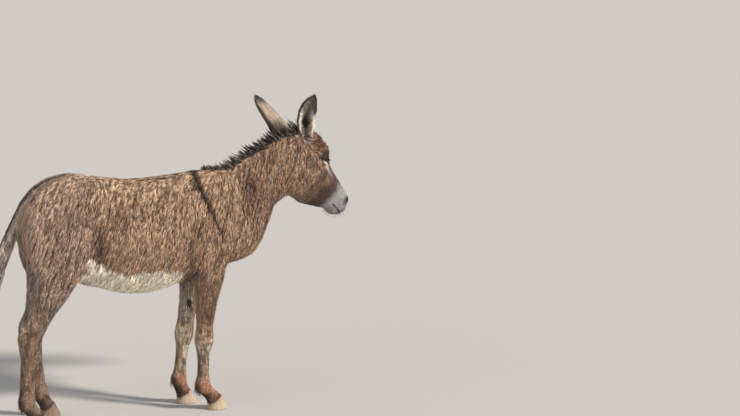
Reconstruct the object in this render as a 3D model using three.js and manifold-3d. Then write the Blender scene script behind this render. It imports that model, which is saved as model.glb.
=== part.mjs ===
// A young donkey standing with its head turned a little to its left, life size, as a still museum model.
// Millimetres, +X along the body towards the head, +Y to the animal's left, +Z up, hooves on the floor.
// The coat is counted in: every surface is where the tips of the hair end.
//
// The animal is first written as one field, negative inside: lofted limbs and muscle ellipsoids, blended.
// A net of quads is then laid over the field where each named part is, and planes part it from its
// neighbours with a thin gap. Ears, eyes, hooves, mane and tail are built directly from their sections.
import * as THREE from "three";
import { mergeVertices } from "three/addons/utils/BufferGeometryUtils.js";
import Module from "manifold-3d";

const wasm = await Module();
wasm.setup();
const { Vector3, Matrix4, CatmullRomCurve3 } = THREE;
const vec = (x, y, z) => new Vector3(x, y, z);
const UP = vec(0, 0, 1);
const FORWARD = vec(1, 0, 0);
const SIDES = { left: 1, right: -1 };

// ---- driving dimensions -------------------------------------------------------------------------------
const GAP = 0.5; // between neighbouring parts
const WITHERS = 1073; // height of the back over the shoulders
const CROUP = 1092; // height over the hips, the highest point of the back
const BELLY = 538; // lowest point of the belly
const EAR_WIDTH = 84;
const EAR_WALL = 8;
const EYE_RADIUS = 18.5;
const MANE_HEIGHT = 46; // of the upright hair above the crest
const MANE_THICKNESS = 26;
const HOOF = { length: 98, width: 78, toeHeight: 62, heelHeight: 30, toeLean: 30, heelLean: 14 };

// Joint centres of the four legs. The left fore and left hind stand a little differently from the right.
const FORELEGS = {
  right: {
    elbow: vec(340, -96, 600), knee: vec(321, -84, 320), fetlock: vec(320, -76, 112), hoof: vec(385, -72, 0),
  },
  left: {
    elbow: vec(336, 96, 600), knee: vec(284, 88, 320), fetlock: vec(260, 88, 112), hoof: vec(293, 90, 0),
  },
};
const HINDLEGS = {
  right: {
    hip: vec(-336, -84, 905), stifle: vec(-332, -104, 650), hock: vec(-457, -92, 392),
    fetlock: vec(-478, -88, 110), hoof: vec(-424, -88, 0),
  },
  left: {
    hip: vec(-332, 84, 905), stifle: vec(-330, 104, 650), hock: vec(-410, 94, 392),
    fetlock: vec(-376, 92, 110), hoof: vec(-336, 94, 0),
  },
};

// The head's own frame: u runs down the nose, v out of the forehead, w to the animal's right.
const HEAD_ORIGIN = vec(962, 98, 1108); // on the bridge of the nose, level with the eyes
const HEAD_TURN = THREE.MathUtils.degToRad(16);
const HEAD_DROP = THREE.MathUtils.degToRad(52);
const ahead = vec(Math.cos(HEAD_TURN), Math.sin(HEAD_TURN), 0);
const headFrame = new Matrix4().makeBasis(
  ahead.clone().multiplyScalar(Math.cos(HEAD_DROP)).addScaledVector(UP, -Math.sin(HEAD_DROP)),
  ahead.clone().multiplyScalar(Math.sin(HEAD_DROP)).addScaledVector(UP, Math.cos(HEAD_DROP)),
  vec().crossVectors(ahead, UP),
).setPosition(HEAD_ORIGIN);
const onHead = (u, v, w) => vec(u, v, w).applyMatrix4(headFrame);
const alongHead = (u, v, w) => vec(u, v, w).transformDirection(headFrame);
const EYE_SEAT = { u: -3, v: -47, w: 75 };

// ---- the field ----------------------------------------------------------------------------------------
// Smooth union: within `reach` of each other, two shapes flow together.
function blend(a, b, reach) {
  const h = Math.max(reach - Math.abs(a - b), 0) / reach;
  return Math.min(a, b) - (h * h * reach) / 4;
}
const join = (parts) => (p) => parts.reduce((d, [shape, reach]) => blend(d, shape(p), reach), 1e4);

// About how far q lies outside an ellipsoid with these half-axes round the origin.
function beyond(q, radii) {
  const k = Math.hypot(q.x / radii[0], q.y / radii[1], q.z / radii[2]);
  return k < 1e-6 ? -Math.min(...radii) : q.length() * (1 - 1 / k);
}
const ellipsoid = (centre, radii) => (p) => beyond(p.clone().sub(centre), radii);

// A field given in another frame, such as the head's.
const within = (frameInverse, field) => (p) => field(p.clone().applyMatrix4(frameInverse));

// A lofted limb. Each row is a section: centre x, y, z, then its half-width and its reach towards `fore`
// and away from it. Sections in between follow a smooth curve, and both ends are rounded.
const STEPS = 4;
const FAR = 90; // beyond this, the distance to the limb's box is close enough
function limb(rows, fore) {
  const centres = new CatmullRomCurve3(rows.map((r) => vec(r[0], r[1], r[2])));
  const girths = new CatmullRomCurve3(rows.map((r) => vec(r[3], r[4], r[5])));
  const count = (rows.length - 1) * STEPS;
  const sections = Array.from({ length: count + 1 }, (_, i) => {
    const tangent = centres.getTangent(i / count);
    const side = vec().crossVectors(fore, tangent).normalize();
    const front = vec().crossVectors(tangent, side);
    return { centre: centres.getPoint(i / count), girth: girths.getPoint(i / count), side, front, tangent };
  });
  const reachOfAll = Math.max(...rows.flatMap((r) => r.slice(3)));
  const box = new THREE.Box3().setFromPoints(sections.map((s) => s.centre)).expandByScalar(reachOfAll);
  const span = vec();
  const q = vec();
  const local = vec();
  return (p) => {
    const toBox = box.distanceToPoint(p);
    if (toBox > FAR) return toBox;
    let nearest = Infinity;
    for (let i = 0; i < count; i++) {
      const a = sections[i];
      const b = sections[i + 1];
      span.subVectors(b.centre, a.centre);
      const t = THREE.MathUtils.clamp(q.subVectors(p, a.centre).dot(span) / span.lengthSq(), 0, 1);
      q.addScaledVector(span, -t);
      const mix = (of, from, to) => of(from) * (1 - t) + of(to) * t;
      local.set(
        mix((s) => q.dot(s.side), a, b),
        mix((s) => q.dot(s.front), a, b),
        mix((s) => q.dot(s.tangent), a, b),
      );
      const width = mix((s) => s.girth.x, a, b);
      const reach = local.y > 0 ? mix((s) => s.girth.y, a, b) : mix((s) => s.girth.z, a, b);
      nearest = Math.min(nearest, beyond(local, [width, reach, 0.8 * Math.min(width, reach)]));
    }
    return nearest;
  };
}

// ---- trunk and neck -----------------------------------------------------------------------------------
// Upright sections of the trunk: x, height of the widest line, half-width, height of back and belly.
const trunkSections = [
  [-450, 888, 52, 950, 815], // under the root of the tail
  [-412, 890, 92, 1012, 742],
  [-350, 890, 134, 1068, 676],
  [-262, 864, 166, CROUP, 622], // hips
  [-126, 808, 188, 1067, 570], // loin
  [10, 772, 200, 1053, BELLY], // barrel
  [130, 768, 196, 1055, 544],
  [235, 788, 172, 1064, 575], // girth
  [340, 815, 142, WITHERS, 612],
  [430, 822, 126, 1060, 632],
  [505, 806, 106, 985, 655],
  [560, 770, 78, 880, 680], // breast
];
const trunkProfile = new THREE.CubicInterpolant(
  trunkSections.map(([x]) => x), trunkSections.flatMap(([, ...values]) => values), 4);
function barrel(p) {
  const x = THREE.MathUtils.clamp(p.x, trunkSections[0][0], trunkSections.at(-1)[0]);
  const [middle, half, top, bottom] = trunkProfile.evaluate(x);
  const reach = p.z > middle ? top - middle : middle - bottom;
  return beyond(vec(p.x - x, p.y, p.z - middle), [0.6 * Math.min(half, reach), half, reach]);
}

// Neck sections between a point on the crest and one on the throat line, with the half-width and the
// sideways bend of the neck.
const neckSections = [
  { crest: [345, 1052], throat: [500, 660], half: 108, bend: 0 },
  { crest: [432, 1078], throat: [594, 742], half: 96, bend: 0 },
  { crest: [528, 1113], throat: [618, 845], half: 78, bend: 5 },
  { crest: [640, 1164], throat: [684, 892], half: 68, bend: 22 },
  { crest: [735, 1210], throat: [752, 942], half: 66, bend: 42 },
  { crest: [800, 1228], throat: [806, 1006], half: 58, bend: 58 },
];
const neckRows = neckSections.map(({ crest, throat, half, bend }) => {
  const reach = Math.hypot(crest[0] - throat[0], crest[1] - throat[1]) / 2;
  return [(crest[0] + throat[0]) / 2, bend, (crest[1] + throat[1]) / 2, half, reach, reach];
});
const neckShape = limb(neckRows, vec(-0.35, 0, 1).normalize());

// Muscles and bones that shape the trunk on both sides: centre, half-axes, and how softly they blend in.
const muscles = [
  [[390, 84, 900], [84, 48, 150], 70], // shoulder blade
  [[345, 98, 735], [104, 50, 96], 50], // triceps
  [[505, 58, 765], [62, 58, 88], 50], // point of the shoulder
  [[-232, 106, 975], [84, 50, 80], 70], // point of the hip
  [[-352, 62, 925], [108, 60, 114], 60], // rump
  [[-428, 52, 842], [52, 46, 110], 40], // buttock
].flatMap(([centre, radii, reach]) =>
  Object.values(SIDES).map((sign) => [ellipsoid(vec(centre[0], sign * centre[1], centre[2]), radii), reach]));

// ---- head ---------------------------------------------------------------------------------------------
// Sections in the head's frame: u, v of the middle, half-width, reach to the face and to the jaw.
const headSections = [
  [-150, -104, 54, 66, 70], // poll
  [-92, -96, 72, 98, 124],
  [-22, -100, 76, 110, 156], // brow and cheek
  [60, -96, 62, 97, 148],
  [130, -84, 46, 82, 114],
  [195, -74, 41, 68, 80],
  [240, -74, 42, 56, 62], // nostrils
  [268, -80, 34, 36, 42], // lips
];
const V_AXIS = vec(0, 1, 0);
const facialCrest = (w) => [
  [12, -84, 62 * w, 17, 17, 17],
  [60, -88, 54 * w, 15, 15, 15],
  [112, -88, 40 * w, 13, 13, 13],
];
const head = within(headFrame.clone().invert(), join([
  [limb(headSections.map(([u, v, half, face, jaw]) => [u, v, 0, half, face, jaw]), V_AXIS), 1],
  [ellipsoid(vec(-72, -54, 0), [98, 80, 87]), 34], // forehead
  ...[1, -1].flatMap((w) => [
    [ellipsoid(vec(0, -50, 60 * w), [42, 30, 30]), 26], // orbit
    [ellipsoid(vec(-42, -28, 62 * w), [44, 32, 35]), 24], // brow
    [ellipsoid(vec(-8, -170, 44 * w), [92, 84, 32]), 36], // cheek muscle
    [limb(facialCrest(w), V_AXIS), 22],
    [ellipsoid(vec(234, -50, 30 * w), [30, 24, 17]), 18], // nostril wing
  ]),
  [ellipsoid(vec(260, -86, 0), [28, 26, 37]), 16], // upper lip
  [ellipsoid(vec(232, -122, 0), [38, 24, 31]), 18], // chin
]));

// ---- legs ---------------------------------------------------------------------------------------------
// Sections of a foreleg: a joint, how far on towards the next, half-width, reach fore and aft.
const forelegSections = [
  ["elbow", -0.45, 60, 84, 92],
  ["elbow", -0.12, 56, 74, 74],
  ["elbow", 0.15, 49, 66, 62], // forearm
  ["elbow", 0.45, 41, 50, 51],
  ["elbow", 0.8, 34, 40, 43],
  ["knee", 0, 38, 47, 46],
  ["knee", 0.28, 27, 29, 33],
  ["knee", 0.6, 24, 26, 31], // cannon
  ["knee", 0.84, 26, 28, 34],
  ["fetlock", 0, 32, 35, 42],
  ["fetlock", 0.4, 28, 27, 29], // pastern
  ["fetlock", 0.85, 35, 34, 34],
  ["fetlock", 1.2, 34, 34, 34],
];
// Sections of a hind leg, from the haunch down.
const hindlegSections = [
  ["hip", -0.1, 62, 104, 104],
  ["hip", 0.25, 75, 118, 128],
  ["hip", 0.62, 80, 112, 126], // thigh
  ["stifle", -0.06, 70, 84, 108],
  ["stifle", 0.25, 55, 68, 78], // gaskin
  ["stifle", 0.55, 42, 53, 60],
  ["stifle", 0.8, 34, 45, 58],
  ["hock", -0.02, 37, 48, 62],
  ["hock", 0.14, 34, 42, 54],
  ["hock", 0.34, 28, 33, 44],
  ["hock", 0.62, 26, 29, 40], // cannon
  ["hock", 0.86, 28, 30, 40],
  ["fetlock", 0, 33, 36, 43],
  ["fetlock", 0.4, 28, 28, 29], // pastern
  ["fetlock", 0.85, 35, 34, 34],
  ["fetlock", 1.2, 34, 34, 34],
];
// The middle of the coronet, where the pastern meets the hoof, and the plane it lies in.
const coronet = (hoof) => hoof.clone().add(vec(-14, 0, (HOOF.toeHeight + HOOF.heelHeight) / 2));
const coronetSlope = vec(HOOF.heelHeight - HOOF.toeHeight, 0, HOOF.length - HOOF.toeLean - HOOF.heelLean);

function legRows(joints, sections) {
  const names = Object.keys(joints);
  const place = (name) => (name === "hoof" ? coronet(joints.hoof) : joints[name]);
  return sections.map(([name, share, ...girth]) => {
    const next = names[names.indexOf(name) + 1];
    return [...place(name).clone().lerp(place(next), share).toArray(), ...girth];
  });
}
const legs = Object.entries(SIDES).flatMap(([side, sign]) => [
  { kind: "fore", side, sign, joints: FORELEGS[side], sections: forelegSections },
  { kind: "hind", side, sign, joints: HINDLEGS[side], sections: hindlegSections },
]);
const legShapes = legs.map(({ joints, sections }) => [limb(legRows(joints, sections), FORWARD), 46]);

const animal = join([[barrel, 1], [neckShape, 70], ...muscles, ...legShapes, [head, 34]]);

// ---- solids -------------------------------------------------------------------------------------------
function solidOf(geometry) {
  const bare = geometry.clone();
  for (const name of Object.keys(bare.attributes)) if (name !== "position") bare.deleteAttribute(name);
  const merged = mergeVertices(bare, 1e-3);
  const vertProperties = merged.attributes.position.array;
  const triVerts = new Uint32Array(merged.index.array);
  return new wasm.Manifold(new wasm.Mesh({ numProp: 3, vertProperties, triVerts }));
}
function geometryOf(points, index) {
  const geometry = new THREE.BufferGeometry();
  geometry.setAttribute("position", new THREE.BufferAttribute(new Float32Array(points), 3));
  geometry.setIndex(new THREE.BufferAttribute(new Uint32Array(index), 1));
  return geometry;
}

// A closed skin over rings of points that all have the same count, with a point closing each end.
function skinOver(rings, first, last) {
  const sides = rings[0].length;
  const points = [...rings.flat(), first, last];
  const index = [];
  for (let j = 0; j < sides; j++) {
    const k = (j + 1) % sides;
    index.push(points.length - 2, k, j);
    for (let a = 0; a + sides < points.length - 2; a += sides) {
      index.push(a + j, a + k, a + sides + k, a + j, a + sides + k, a + sides + j);
    }
    const end = points.length - 2 - sides;
    index.push(end + j, end + k, points.length - 1);
  }
  const flat = points.flatMap((p) => p.toArray());
  const solid = solidOf(geometryOf(flat, index));
  return solid.volume() > 0 ? solid : solidOf(geometryOf(flat, index.reverse()));
}

// A cutting plane through a point. above() keeps the side its normal points to, below() the other.
const plane = (point, normal) => ({ normal: normal.clone().normalize(), point });
const offset = (cut) => cut.point.dot(cut.normal);
const above = (solid, cut) => solid.trimByPlane(cut.normal.toArray(), offset(cut) + GAP / 2);
const below = (solid, cut) =>
  solid.trimByPlane(cut.normal.clone().negate().toArray(), -offset(cut) + GAP / 2);
const level = (z) => plane(vec(0, 0, z), UP);

// A net of quads laid over the field inside a box: one knot in each grid cell that the surface passes
// through, drawn onto the surface, and a quad round each grid edge that crosses it. The box closes the net
// where it cuts the animal, a little past the plane that parts it there. `frame` turns the grid.
const DRAWS = 4;
const PROBE = 1.5;
function netOver(field, low, high, cell, frame = new Matrix4()) {
  const span = high.clone().sub(low).toArray();
  const count = span.map((s, i) => Math.round(s / cell[i]) + 2);
  const step = span.map((s, i) => s / (count[i] - 2));
  const box = new THREE.Box3(low, high);
  const middle = box.getCenter(vec());
  const half = box.getSize(vec()).multiplyScalar(0.5);
  const value = (p) => {
    const q = p.clone().sub(middle);
    const out = Math.max(Math.abs(q.x) - half.x, Math.abs(q.y) - half.y, Math.abs(q.z) - half.z);
    return Math.max(out, field(p.clone().applyMatrix4(frame)));
  };
  const at = (...cellIndex) => vec(...cellIndex.map((n, m) => low.getComponent(m) + (n - 0.5) * step[m]));
  const slot = (i, j, k) => (k * count[1] + j) * count[0] + i;
  const samples = new Float32Array(count[0] * count[1] * count[2]);
  for (let k = 0; k < count[2]; k++) {
    for (let j = 0; j < count[1]; j++) {
      for (let i = 0; i < count[0]; i++) samples[slot(i, j, k)] = value(at(i, j, k));
    }
  }
  const axes = [vec(PROBE, 0, 0), vec(0, PROBE, 0), vec(0, 0, PROBE)];
  const slope = (p) => vec(...axes.map((probe) => value(p.clone().add(probe)) - value(p.clone().sub(probe))))
    .divideScalar(2 * PROBE);
  const knots = new Map();
  const points = [];
  const knot = (i, j, k) => {
    const key = slot(i, j, k);
    if (knots.has(key)) return knots.get(key);
    const crossings = [];
    for (let c = 0; c < 12; c++) {
      const axis = c >> 2;
      const a = [i, j, k];
      a[(axis + 1) % 3] += c & 1;
      a[(axis + 2) % 3] += (c >> 1) & 1;
      const b = a.map((n, m) => n + (m === axis ? 1 : 0));
      const [va, vb] = [samples[slot(...a)], samples[slot(...b)]];
      if (va < 0 !== vb < 0) crossings.push(at(...a).lerp(at(...b), va / (va - vb)));
    }
    const p = crossings.reduce((sum, c) => sum.add(c), vec()).divideScalar(crossings.length);
    for (let n = 0; n < DRAWS; n++) {
      const g = slope(p);
      const move = g.multiplyScalar(-value(p) / Math.max(g.lengthSq(), 0.3));
      p.add(move.clampLength(0, Math.min(...step) / 3));
    }
    points.push(...p.applyMatrix4(frame).toArray());
    knots.set(key, points.length / 3 - 1);
    return points.length / 3 - 1;
  };
  const index = [];
  const distance = (a, b) => Math.hypot(...[0, 1, 2].map((m) => points[3 * a + m] - points[3 * b + m]));
  for (let k = 1; k + 1 < count[2]; k++) {
    for (let j = 1; j + 1 < count[1]; j++) {
      for (let i = 1; i + 1 < count[0]; i++) addQuads(i, j, k);
    }
  }
  function addQuads(...cellIndex) {
    for (let axis = 0; axis < 3; axis++) {
      const next = cellIndex.map((n, m) => n + (m === axis ? 1 : 0));
      const before = cellIndex.map((n, m) => n - (m === axis ? 1 : 0));
      edge(axis, cellIndex, next);
      if (cellIndex[axis] === 1) edge(axis, before, cellIndex);
    }
  }
  function edge(axis, a, b) {
    const inside = samples[slot(...a)] < 0;
    if (inside === samples[slot(...b)] < 0) return;
    const [u, v] = [(axis + 1) % 3, (axis + 2) % 3];
    const cellAt = (du, dv) => knot(...a.map((n, m) => n - (m === u ? du : 0) - (m === v ? dv : 0)));
    const quad = [cellAt(1, 1), cellAt(0, 1), cellAt(0, 0), cellAt(1, 0)];
    if (!inside) quad.reverse();
    const [p, q, r, s] = quad;
    if (distance(p, r) < distance(q, s)) index.push(p, q, r, p, r, s);
    else index.push(q, r, s, q, s, p);
  }
  return solidOf(geometryOf(points, index));
}

const neckCut = plane(vec(402, 0, 1085), vec(345, 0, 200)); // from the withers to the breast
const headCut = plane(onHead(-215, -40, 0), alongHead(1, 1, 0)); // from the poll to the throat
const forelegCut = plane(vec(235, 0, 573), vec(-0.33, 0, 1)); // along the line of the chest
const flankCut = plane(vec(-196, 0, 690), vec(-210, 0, -80)); // down the fold of the flank
const haunchCut = (sign) => plane(vec(-350, 0, 596), vec(0, sign * 300, -190)); // between the thighs
const kneeTop = level(366);
const gaskinTop = level(560);
const hockTop = level(440);
const fetlockTop = level(150);
const coronetCut = (hoof) => plane(coronet(hoof), coronetSlope);

const root = new THREE.Group();
const COLOURS = {
  coat: "#8a7564",
  neck: "#76675c",
  mane: "#33291f",
  ear: "#8f8069",
  hoof: "#b9ad9a",
  eye: "#1c1410",
};
// Cuts can leave crumbs beside a groove and edges too short to matter: only the largest body is the part,
// and the ends of a short edge become one point. Where two sheets of a net touch in one point, the second
// sheet draws back from it a little.
const SHORTEST_EDGE = 0.1;
const DRAW_BACK = 0.1; // of the way to the middle of the faces round it
function tidied({ vertProperties, triVerts }) {
  const count = vertProperties.length / 3;
  const points = Array.from({ length: count }, (_, i) => vec().fromArray(vertProperties, 3 * i));
  const same = points.map((_, i) => i);
  const find = (i) => (same[i] === i ? i : find(same[i]));
  const triangles = Array.from(
    { length: triVerts.length / 3 }, (_, i) => [...triVerts.slice(3 * i, 3 * i + 3)]);
  for (const [a, b, c] of triangles) {
    for (const [from, to] of [[a, b], [b, c], [c, a]]) {
      if (points[from].distanceTo(points[to]) < SHORTEST_EDGE) same[find(from)] = find(to);
    }
  }
  const kept = triangles.map((t) => t.map(find)).filter(([a, b, c]) => a !== b && b !== c && c !== a);
  const taken = new Set();
  for (const i of new Set(kept.flat())) {
    const place = points[i].toArray().map((x) => x.toFixed(2)).join();
    if (taken.has(place)) {
      const around = kept.filter((t) => t.includes(i)).flat();
      const middle = around.reduce((sum, n) => sum.add(points[n]), vec()).divideScalar(around.length);
      points[i].lerp(middle, DRAW_BACK);
    }
    taken.add(place);
  }
  return geometryOf(points.flatMap((p) => p.toArray()), kept.flat());
}
const DULL = 0.9; // roughness of hair
const HORN = 0.6;
const WET = 0.1;
function add(name, solid, colour, roughness = DULL) {
  const bodies = solid.decompose().sort((a, b) => b.volume() - a.volume());
  const material = new THREE.MeshStandardMaterial({ color: colour, roughness, metalness: 0 });
  const mesh = new THREE.Mesh(tidied(bodies[0].getMesh()), material);
  mesh.name = name;
  root.add(mesh);
}

// ---- ears ---------------------------------------------------------------------------------------------
// A long cupped leaf of one thickness, rolled nearly shut at its root and open above. Its line runs from
// the root to the tip, and its half-width is given along that line. The left ear is turned out and spread,
// so it is wider low down.
const EARS = {
  right: {
    line: [onHead(-136, -52, 50), vec(854, 22, 1226), vec(854, -8, 1312), vec(880, -32, 1382)],
    opening: vec(-0.15, -1, 0),
    widths: [0.42, 0.5, 0.7, 0.92, 1, 0.86, 0.6, 0.36, 0.12],
  },
  left: {
    line: [onHead(-136, -52, -50), vec(768, 143, 1234), vec(712, 165, 1302), vec(668, 186, 1366)],
    opening: vec(-0.6, 0.75, 0.1),
    widths: [0.5, 0.78, 1.04, 1.14, 1.02, 0.86, 0.68, 0.48, 0.18],
  },
};
const EAR_STATIONS = [0, 0.12, 0.25, 0.42, 0.6, 0.76, 0.88, 0.95, 1];
const EAR_RINGS = 10;
const EAR_ARC = 6;
const EAR_ROLL = { root: 2.5, open: 1.15 }; // half the turn of the cup, which opens up to half its height
const FIT = 0.5; // room round a piece that is let into another
function earSolid({ line, opening, widths }, grow, filled) {
  const widthAt = new THREE.CubicInterpolant(EAR_STATIONS, widths, 1);
  const curve = new CatmullRomCurve3(line);
  const ring = (t) => {
    const axis = curve.getTangent(t);
    const face = opening.clone().addScaledVector(axis, -opening.dot(axis)).normalize();
    const across = vec().crossVectors(axis, face);
    const roll = THREE.MathUtils.lerp(EAR_ROLL.root, EAR_ROLL.open, Math.min(1, t * 2));
    const half = (EAR_WIDTH / 2) * widthAt.evaluate(t)[0];
    const radius = half / Math.sin(Math.min(roll, Math.PI / 2));
    const wall = Math.min(EAR_WALL / 2, radius * 0.45);
    const middle = curve.getPoint(t).addScaledVector(face, radius * 0.5 - EAR_WALL);
    const point = (angle, r) => middle.clone().addScaledVector(across, r * Math.sin(angle))
      .addScaledVector(face, -r * Math.cos(angle));
    const turn = (j) => roll * ((2 * j) / EAR_ARC - 1);
    const outer = Array.from({ length: EAR_ARC + 1 }, (_, j) => point(turn(j), radius + wall + grow));
    const inner = Array.from({ length: EAR_ARC + 1 }, (_, j) => point(turn(EAR_ARC - j), radius - wall));
    return filled ? outer : [...outer, ...inner];
  };
  const rings = Array.from(
    { length: EAR_RINGS }, (_, i) => ring(Math.sin((Math.PI / 2) * (i / (EAR_RINGS - 1)))));
  const [foot, tip] = [rings[0], rings.at(-1)].map((loop) => loop[EAR_ARC / 2]);
  return skinOver(rings, foot.clone().addScaledVector(curve.getTangent(0), -1 - grow),
    tip.clone().lerp(curve.getPoint(1), 0.6).addScaledVector(curve.getTangent(1), 3 + grow));
}

// ---- mane and tail ------------------------------------------------------------------------------------
// Upright hair along the crest: a blade with a rounded top, sunk a little into the neck.
function onSurface(from, towards) {
  const p = from.clone();
  while (animal(p) > 0.5) p.addScaledVector(towards, Math.max(0.5, 0.7 * animal(p)));
  return p;
}
const neckBend = new THREE.CubicInterpolant([350, 530, 640, 730, 800], [0, 5, 22, 40, 56], 1);
const crestPoint = (x) => onSurface(vec(x, neckBend.evaluate(x)[0], 1300), vec(0, 0, -1));
const pollPoint = (u) => onSurface(onHead(u, 80, 0), alongHead(0, -1, 0));
const maneLine = new CatmullRomCurve3(
  [...[382, 430, 485, 545, 615, 690, 760].map(crestPoint), ...[-160, -124].map(pollPoint)]);
// The points this far beyond both ends of a curve.
const endsOf = (curve, far) =>
  [0, 1].map((t) => curve.getPoint(t).addScaledVector(curve.getTangent(t), (2 * t - 1) * far));
const MANE_SINK = 14;
const MANE_RINGS = 16;
function maneSolid(grow) {
  const rings = Array.from({ length: MANE_RINGS }, (_, i) => {
    const t = i / (MANE_RINGS - 1);
    const centre = maneLine.getPoint(t);
    const along = maneLine.getTangent(t);
    const side = vec().crossVectors(along, UP).normalize();
    const rise = vec().crossVectors(side, along);
    const taller = 1 + 0.45 * THREE.MathUtils.smoothstep(t, 0.6, 0.85); // between the ears
    const height = (MANE_HEIGHT * taller + grow) * Math.min(1, 0.25 + 3.2 * t, 0.3 + 5 * (1 - t));
    const half = MANE_THICKNESS / 2 + grow;
    const wall = [[0.9, -MANE_SINK - grow], [1, 0], [0.75, 0.6 * height], [0.3, 0.92 * height]];
    const outline = [...wall, ...wall.map(([w, h]) => [-w, h]).reverse()];
    return outline.map(([w, h]) => centre.clone().addScaledVector(side, w * half).addScaledVector(rise, h));
  });
  const ends = endsOf(maneLine, 3 + grow);
  return skinOver(rings, ends[0], ends[1]);
}

// The tail hangs in a curve that stands a little away from the thighs. Rows: centre, half-width, half-depth.
const tailRows = [
  [-336, 0, 1042, 22, 20], [-382, 0, 1022, 27, 25], [-422, 0, 990, 28, 26], [-458, 0, 938, 27, 26],
  [-494, -2, 869, 26, 26], [-526, -4, 799, 27, 28], [-560, -6, 728, 29, 31],
  [-586, -8, 660, 32, 35], [-603, -9, 595, 36, 40], [-611, -11, 530, 37, 42], [-612, -13, 466, 32, 36],
  [-606, -14, 405, 20, 22], [-601, -15, 372, 7, 8],
];
const switchCut = plane(vec(-578, -7, 680), vec(25, 1, 68)); // where the short hair ends and the long begins
const TAIL_SIDES = 10;
const TAIL_RINGS = 20;
function tube(rows, ringCount, grow) {
  const centres = new CatmullRomCurve3(rows.map((r) => vec(r[0], r[1], r[2])));
  const girths = new CatmullRomCurve3(rows.map((r) => vec(r[3], r[4], 0)));
  const rings = Array.from({ length: ringCount }, (_, i) => {
    const t = i / (ringCount - 1);
    const tangent = centres.getTangent(t);
    const side = vec().crossVectors(FORWARD, tangent).normalize();
    const front = vec().crossVectors(tangent, side);
    const girth = girths.getPoint(t);
    return Array.from({ length: TAIL_SIDES }, (_, j) => {
      const angle = (2 * Math.PI * j) / TAIL_SIDES;
      return centres.getPoint(t).addScaledVector(side, (girth.x + grow) * Math.cos(angle))
        .addScaledVector(front, (girth.y + grow) * Math.sin(angle));
    });
  });
  const ends = endsOf(centres, 3 + grow);
  return skinOver(rings, ends[0], ends[1]);
}

// ---- hooves -------------------------------------------------------------------------------------------
// Round at the toe and squarer at the heels, with walls that lean in to the coronet.
const HOOF_SIDES = 18;
const ABOVE_CORONET = 96; // the wall is made this high, then cut to the slope of the coronet
function hoofSolid(hoof) {
  const outline = (height, inset) => Array.from({ length: HOOF_SIDES }, (_, j) => {
    const angle = (2 * Math.PI * j) / HOOF_SIDES;
    const [c, s] = [Math.cos(angle), Math.sin(angle)];
    const lean = height / HOOF.toeHeight;
    const toe = HOOF.length / 2 - HOOF.toeLean * lean - inset;
    const heel = HOOF.length / 2 - HOOF.heelLean * lean - inset;
    const x = c > 0 ? toe * c : -heel * Math.abs(c) ** 0.72;
    const y = (HOOF.width / 2 - 6 * lean - inset) * Math.sign(s) * Math.abs(s) ** 0.9;
    return vec(x, y, height).add(hoof);
  });
  const rings = [outline(0, 2), outline(4, 0), outline(40, 0), outline(ABOVE_CORONET, 0)];
  return below(skinOver(rings, hoof.clone(), hoof.clone().setZ(ABOVE_CORONET)), coronetCut(hoof));
}

// ---- the parts ----------------------------------------------------------------------------------------
// Blocks of air that leave the trunk without its legs: the legs are cut to the same planes.
const BLOCK = 900;
const block = (x, y, z) => solidOf(new THREE.BoxGeometry(BLOCK, BLOCK, BLOCK).translate(x, y, z));
const thighBlock = (sign) => [flankCut, haunchCut(sign)].reduce(
  (air, cut) => air.trimByPlane(cut.normal.toArray(), offset(cut) - GAP / 2),
  block(-500, (sign * BLOCK) / 2, 600));
const forelegBlock = () => block(205 + BLOCK / 2, 0, 300)
  .trimByPlane(forelegCut.normal.clone().negate().toArray(), -offset(forelegCut) - GAP / 2);
const ears = Object.entries(EARS).map(([side, ear]) => ({
  side, solid: earSolid(ear, 0, false), pocket: earSolid(ear, FIT, true),
}));
const mane = maneSolid(0);
const maneGroove = maneSolid(FIT);
const tail = tube(tailRows, TAIL_RINGS, 0);
const tailSocket = tube(tailRows, TAIL_RINGS, FIT);

function trunkSolid() {
  let trunk = netOver(animal, vec(-540, -230, 480), vec(660, 230, 1130), [54, 47, 50]);
  trunk = below(trunk, neckCut).subtract(forelegBlock()).subtract(maneGroove).subtract(tailSocket);
  for (const sign of Object.values(SIDES)) trunk = trunk.subtract(thighBlock(sign));
  return trunk;
}
add("trunk", trunkSolid(), COLOURS.coat);

const neckNet = netOver(animal, vec(340, -150, 600), vec(900, 190, 1290), [44, 38, 42]);
let neck = below(above(neckNet, neckCut), headCut).subtract(maneGroove);
for (const { pocket } of ears) neck = neck.subtract(pocket);
add("neck", neck, COLOURS.neck);

const eyeBall = (grow, w) => {
  const seat = onHead(EYE_SEAT.u, EYE_SEAT.v, w * EYE_SEAT.w);
  const ball = new THREE.SphereGeometry(EYE_RADIUS + grow, 12, 7);
  return solidOf(ball.translate(seat.x, seat.y, seat.z));
};
const headNet = netOver(animal, vec(-215, -290, -115), vec(310, 30, 115), [24, 23, 22], headFrame);
let headSolid = above(headNet, headCut).subtract(maneGroove);
for (const { pocket } of ears) headSolid = headSolid.subtract(pocket);
for (const w of [1, -1]) headSolid = headSolid.subtract(eyeBall(FIT, w));
add("head", headSolid, COLOURS.neck);
add("eye_right", eyeBall(0, 1), COLOURS.eye, WET);
add("eye_left", eyeBall(0, -1), COLOURS.eye, WET);
for (const { side, solid } of ears) add(`ear_${side}`, solid, COLOURS.ear);
add("mane", mane, COLOURS.mane);
add("tail_dock", above(tail, switchCut), COLOURS.coat);
add("tail_switch", below(tail, switchCut), COLOURS.mane);

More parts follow.
